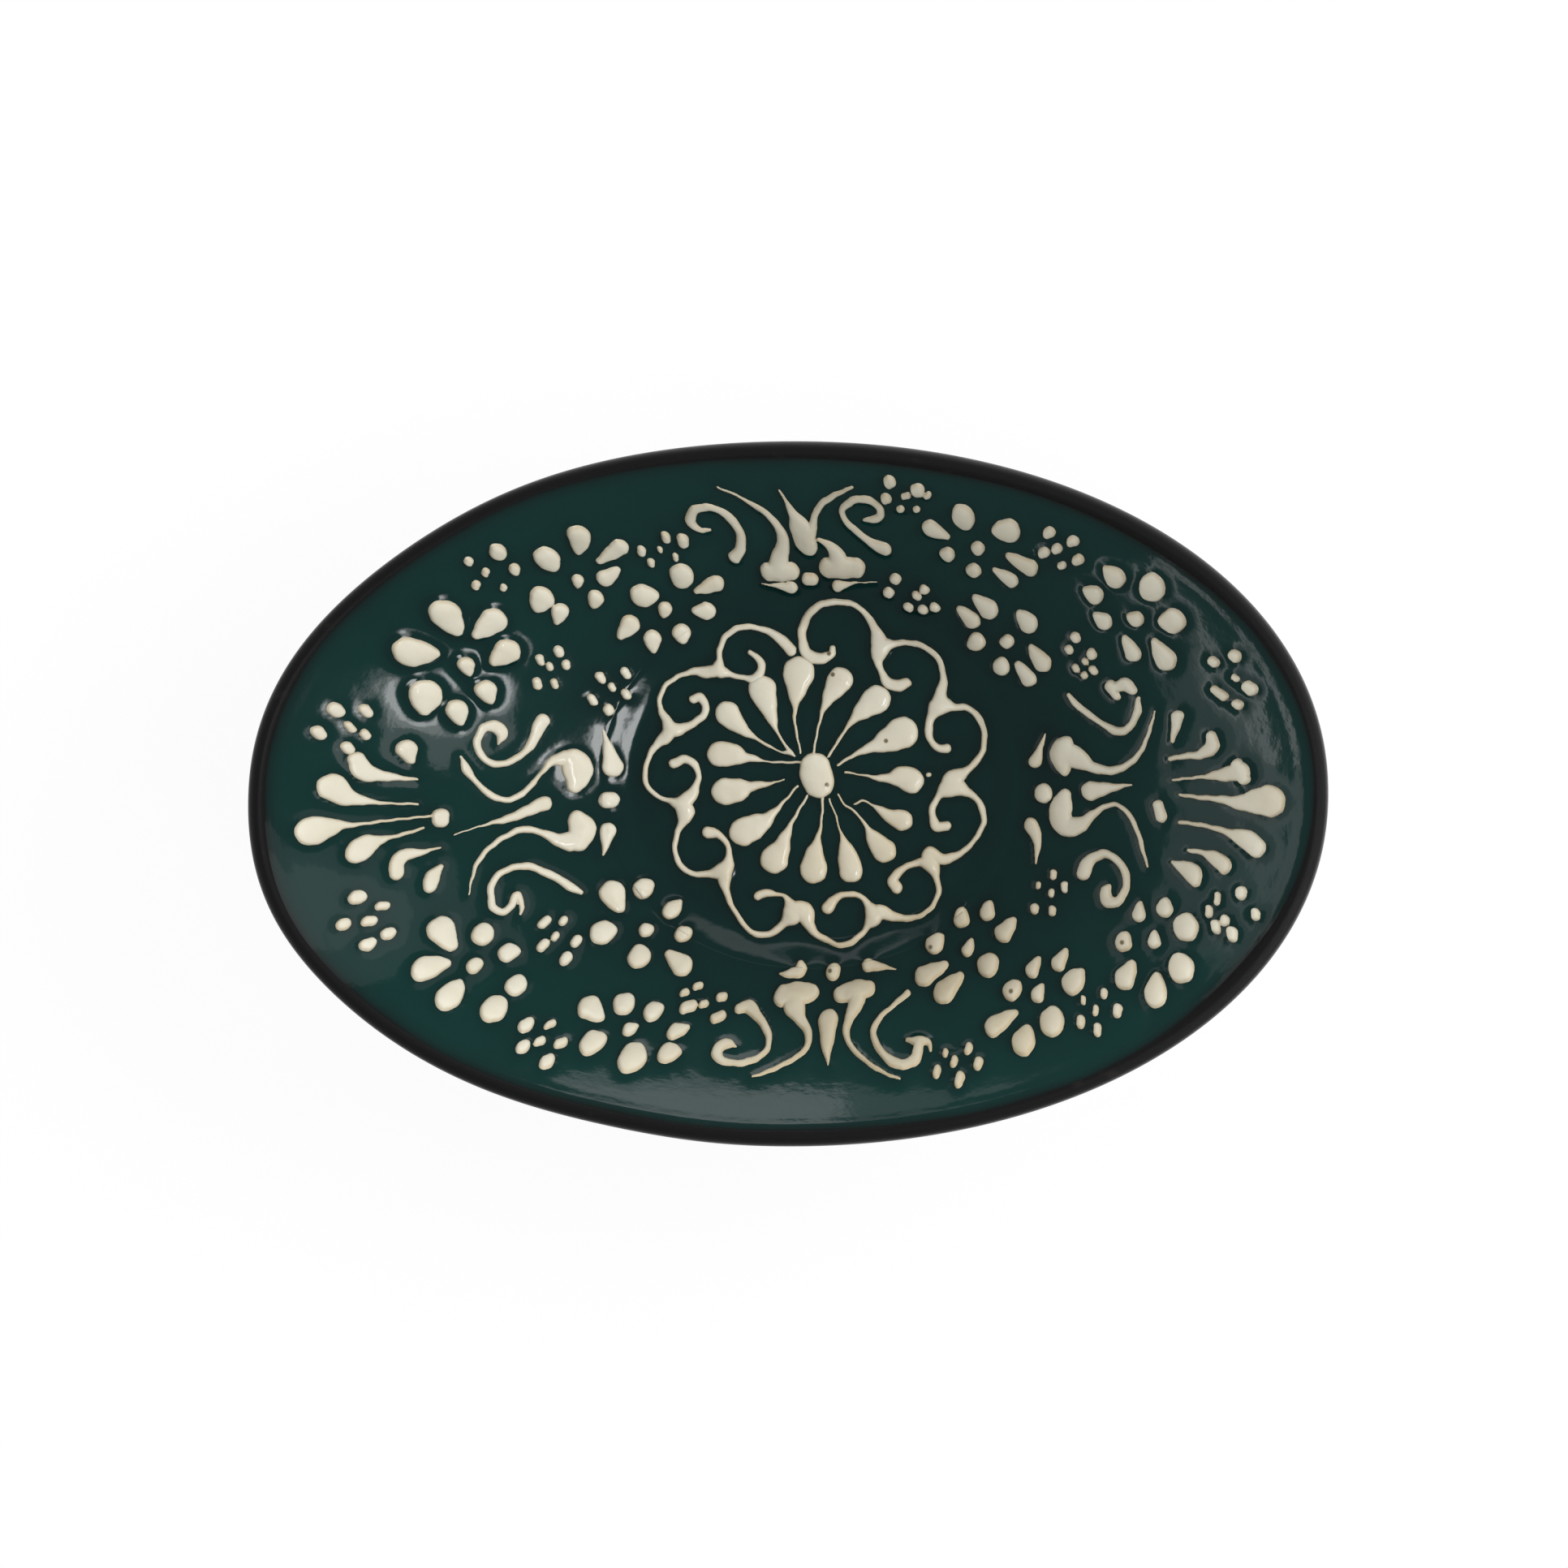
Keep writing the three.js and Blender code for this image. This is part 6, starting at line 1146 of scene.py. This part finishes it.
class BOWL_OT_clay_body(bpy.types.Operator):
    """Builds the bare foot ring and the underside"""

    bl_idname = "bowl.clay_body"
    bl_label = "Clay body"

    def execute(self, context):
        shape = context.scene.bowl_shape
        a, b = shape.foot_length / 2, shape.foot_width / 2
        wall, top = shape.foot_wall, shape.foot_height
        edge, corner, lap, margin = 0.0007, 0.0002, 0.0004, 0.004
        section = [
            (FOOT_TAPER, shape.bare_foot + lap),
            (FOOT_TAPER, edge),
            (FOOT_TAPER + corner, corner),
            (FOOT_TAPER + edge, 0.0),
            (wall - edge, 0.0),
            (wall - corner, corner),
            (wall, edge),
            (wall, top - edge),
            (wall + edge, top),
            (wall + margin, top),
        ]
        levels = np.array([(a - inset, b - inset, z) for inset, z in section])
        share = np.zeros(len(levels))
        look = finish_named("bare clay", bare_clay)
        piece = ring_piece("foot_and_underside", shape, levels, share, look, cap=True)
        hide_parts("clay_body")
        return {"FINISHED"}


def lay_slip(context, prefix):
    """Builds every motif of slip whose name starts with the prefix."""
    scene = context.scene
    look = finish_named("cream slip", cream_slip)
    for name, lines in motifs().items():
        if name.startswith(prefix):
            slip_piece(name, lines, scene.bowl_shape, scene.bowl_slip, look)
    return {"FINISHED"}


class BOWL_OT_rosette(bpy.types.Operator):
    """Lays the rosette in the well"""

    bl_idname = "bowl.rosette"
    bl_label = "Rosette"

    def execute(self, context):
        return lay_slip(context, "rosette")


class BOWL_OT_wreath(bpy.types.Operator):
    """Lays the wreath of scallops round the rosette"""

    bl_idname = "bowl.wreath"
    bl_label = "Wreath"

    def execute(self, context):
        return lay_slip(context, "wreath")


class BOWL_OT_tulips(bpy.types.Operator):
    """Lays the four tulips"""

    bl_idname = "bowl.tulips"
    bl_label = "Tulips"

    def execute(self, context):
        return lay_slip(context, "tulip")


class BOWL_OT_scrolls(bpy.types.Operator):
    """Lays the eight scrolls"""

    bl_idname = "bowl.scrolls"
    bl_label = "Scrolls"

    def execute(self, context):
        return lay_slip(context, "scroll")


class BOWL_OT_fans(bpy.types.Operator):
    """Lays the two fans"""

    bl_idname = "bowl.fans"
    bl_label = "Fans"

    def execute(self, context):
        return lay_slip(context, "fan")


class BOWL_OT_flowers(bpy.types.Operator):
    """Lays the twelve daisies"""

    bl_idname = "bowl.flowers"
    bl_label = "Daisies"

    def execute(self, context):
        return lay_slip(context, "flower")


class BOWL_OT_dots(bpy.types.Operator):
    """Lays the groups of small drops"""

    bl_idname = "bowl.dots"
    bl_label = "Dots"

    def execute(self, context):
        return lay_slip(context, "dots")


def white_ground():
    """The floor that the bowl stands on."""
    reach = 3.0
    corners = [(-reach, -reach, 0), (reach, -reach, 0), (reach, reach, 0), (-reach, reach, 0)]
    mesh = bpy.data.meshes.new("floor")
    mesh.from_pydata(corners, [], [(0, 1, 2, 3)])
    mesh.materials.append(white_floor())
    floor = bpy.data.objects.new("floor", mesh)
    bpy.context.collection.objects.link(floor)
    return floor


def area_lamp(name, azimuth, height, distance, size, level, roll, outline):
    """A soft box that faces the bowl. Its power is its brightness times its area times four, or times pi
    for an ellipse."""
    azimuth, height = np.radians((azimuth, height))
    way = Vector((np.cos(azimuth) * np.cos(height), np.sin(azimuth) * np.cos(height), np.sin(height)))
    lamp = bpy.data.lights.new(name, "AREA")
    lamp.shape = outline
    lamp.size, lamp.size_y = size
    lamp.energy = level * (4 if outline == "RECTANGLE" else np.pi) * size[0] * size[1]
    thing = bpy.data.objects.new(name, lamp)
    across = Vector((0, 0, 1)).cross(way).normalized()
    upright = way.cross(across)
    axes = Matrix((across, upright, way)).transposed().to_4x4()
    place = Matrix.Translation(Vector((0, 0, LAMP_AIM)) + way * distance)
    thing.matrix_world = place @ axes @ Matrix.Rotation(np.radians(roll), 4, "Z")
    thing.visible_glossy = name not in UNMIRRORED
    bpy.context.collection.objects.link(thing)


def white_room():
    """A world that is white to the camera, dim in reflections and in between as light."""
    world = bpy.data.worlds.new("studio")
    world.use_nodes = True
    nodes = world.node_tree.nodes
    nodes.remove(nodes["Background"])
    shade = Shade(world.node_tree)
    room, dim, white = (
        shade.node("ShaderNodeBackground", inputs={"Color": (1, 1, 1, 1), "Strength": level})
        for level in (ROOM_LIGHT, ROOM_MIRRORED, ROOM_SEEN)
    )
    seen = shade.node("ShaderNodeLightPath", output="Is Camera Ray")
    mirrored = shade.node("ShaderNodeLightPath", output="Is Glossy Ray")
    lit = shade.node("ShaderNodeMixShader", inputs={0: mirrored, 1: room, 2: dim})
    shown = shade.node("ShaderNodeMixShader", inputs={0: seen, 1: lit, 2: white})
    world.node_tree.links.new(shown.socket, nodes["World Output"].inputs["Surface"])
    return world


def photo_camera(stage, height):
    """A camera over the middle of the lip, leaned and rolled as the photograph's was."""
    camera = bpy.data.cameras.new("camera")
    camera.lens = stage.lens
    camera.shift_x, camera.shift_y = stage.shift
    camera.clip_start, camera.clip_end = 0.01, 20
    holder = bpy.data.objects.new("camera", camera)
    lean_x, lean_y = np.sin(np.radians(stage.lean))
    back = Vector((lean_x, lean_y, np.sqrt(1 - lean_x**2 - lean_y**2)))
    right = Vector((0, 1, 0)).cross(back).normalized()
    up = back.cross(right)
    roll = np.radians(stage.roll)
    turned_right = right * np.cos(roll) - up * np.sin(roll)
    turned_up = up * np.cos(roll) + right * np.sin(roll)
    place = Vector((0, 0, height)) + back * stage.distance
    axes = Matrix((turned_right, turned_up, back)).transposed().to_4x4()
    holder.matrix_world = Matrix.Translation(place) @ axes
    bpy.context.collection.objects.link(holder)
    return holder


class BOWL_OT_stage(bpy.types.Operator):
    """Sets the floor, the light and the camera of the photograph"""

    bl_idname = "bowl.stage"
    bl_label = "Stage"

    def execute(self, context):
        scene = context.scene
        floor = white_ground()
        for lamp in LAMPS:
            area_lamp(*lamp)
        scene.world = white_room()
        scene.view_settings.view_transform = "Standard"
        scene.camera = photo_camera(scene.bowl_stage, scene.bowl_shape.height)
        return {"FINISHED"}


STEPS = (
    BOWL_OT_clay_body,
    BOWL_OT_outer_glaze,
    BOWL_OT_inner_glaze,
    BOWL_OT_rim_band,
    BOWL_OT_rosette,
    BOWL_OT_wreath,
    BOWL_OT_tulips,
    BOWL_OT_scrolls,
    BOWL_OT_fans,
    BOWL_OT_flowers,
    BOWL_OT_dots,
    BOWL_OT_stage,
)


GROUPS = {
    "bowl_shape": BowlShape,
    "bowl_slip": SlipShape,
    "bowl_colours": BowlColours,
    "bowl_stage": BowlStage,
}


class BOWL_PT_panel(bpy.types.Panel):
    """Sizes, colours and steps of the bowl"""

    bl_idname = "BOWL_PT_panel"
    bl_label = "Oval bowl"
    bl_space_type = "VIEW_3D"
    bl_region_type = "UI"
    bl_category = "Bowl"

    def draw(self, context):
        for pointer, kind in GROUPS.items():
            for key in kind.__annotations__:
                self.layout.prop(getattr(context.scene, pointer), key)
        for step in STEPS:
            self.layout.operator(step.bl_idname)


def register():
    """Registers the classes and gives the scene their properties."""
    for kind in (*GROUPS.values(), *STEPS, BOWL_PT_panel):
        bpy.utils.register_class(kind)
    for name, kind in GROUPS.items():
        setattr(bpy.types.Scene, name, PointerProperty(type=kind))


def unregister():
    """Undoes register."""
    for name in GROUPS:
        delattr(bpy.types.Scene, name)
    for kind in reversed((*GROUPS.values(), *STEPS, BOWL_PT_panel)):
        bpy.utils.unregister_class(kind)


def main():
    """Registers the add-on and runs its steps."""
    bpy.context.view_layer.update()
    register()
    for step in STEPS:
        group, name = step.bl_idname.split(".")
        getattr(getattr(bpy.ops, group), name)()


if __name__ == "__main__":
    main()
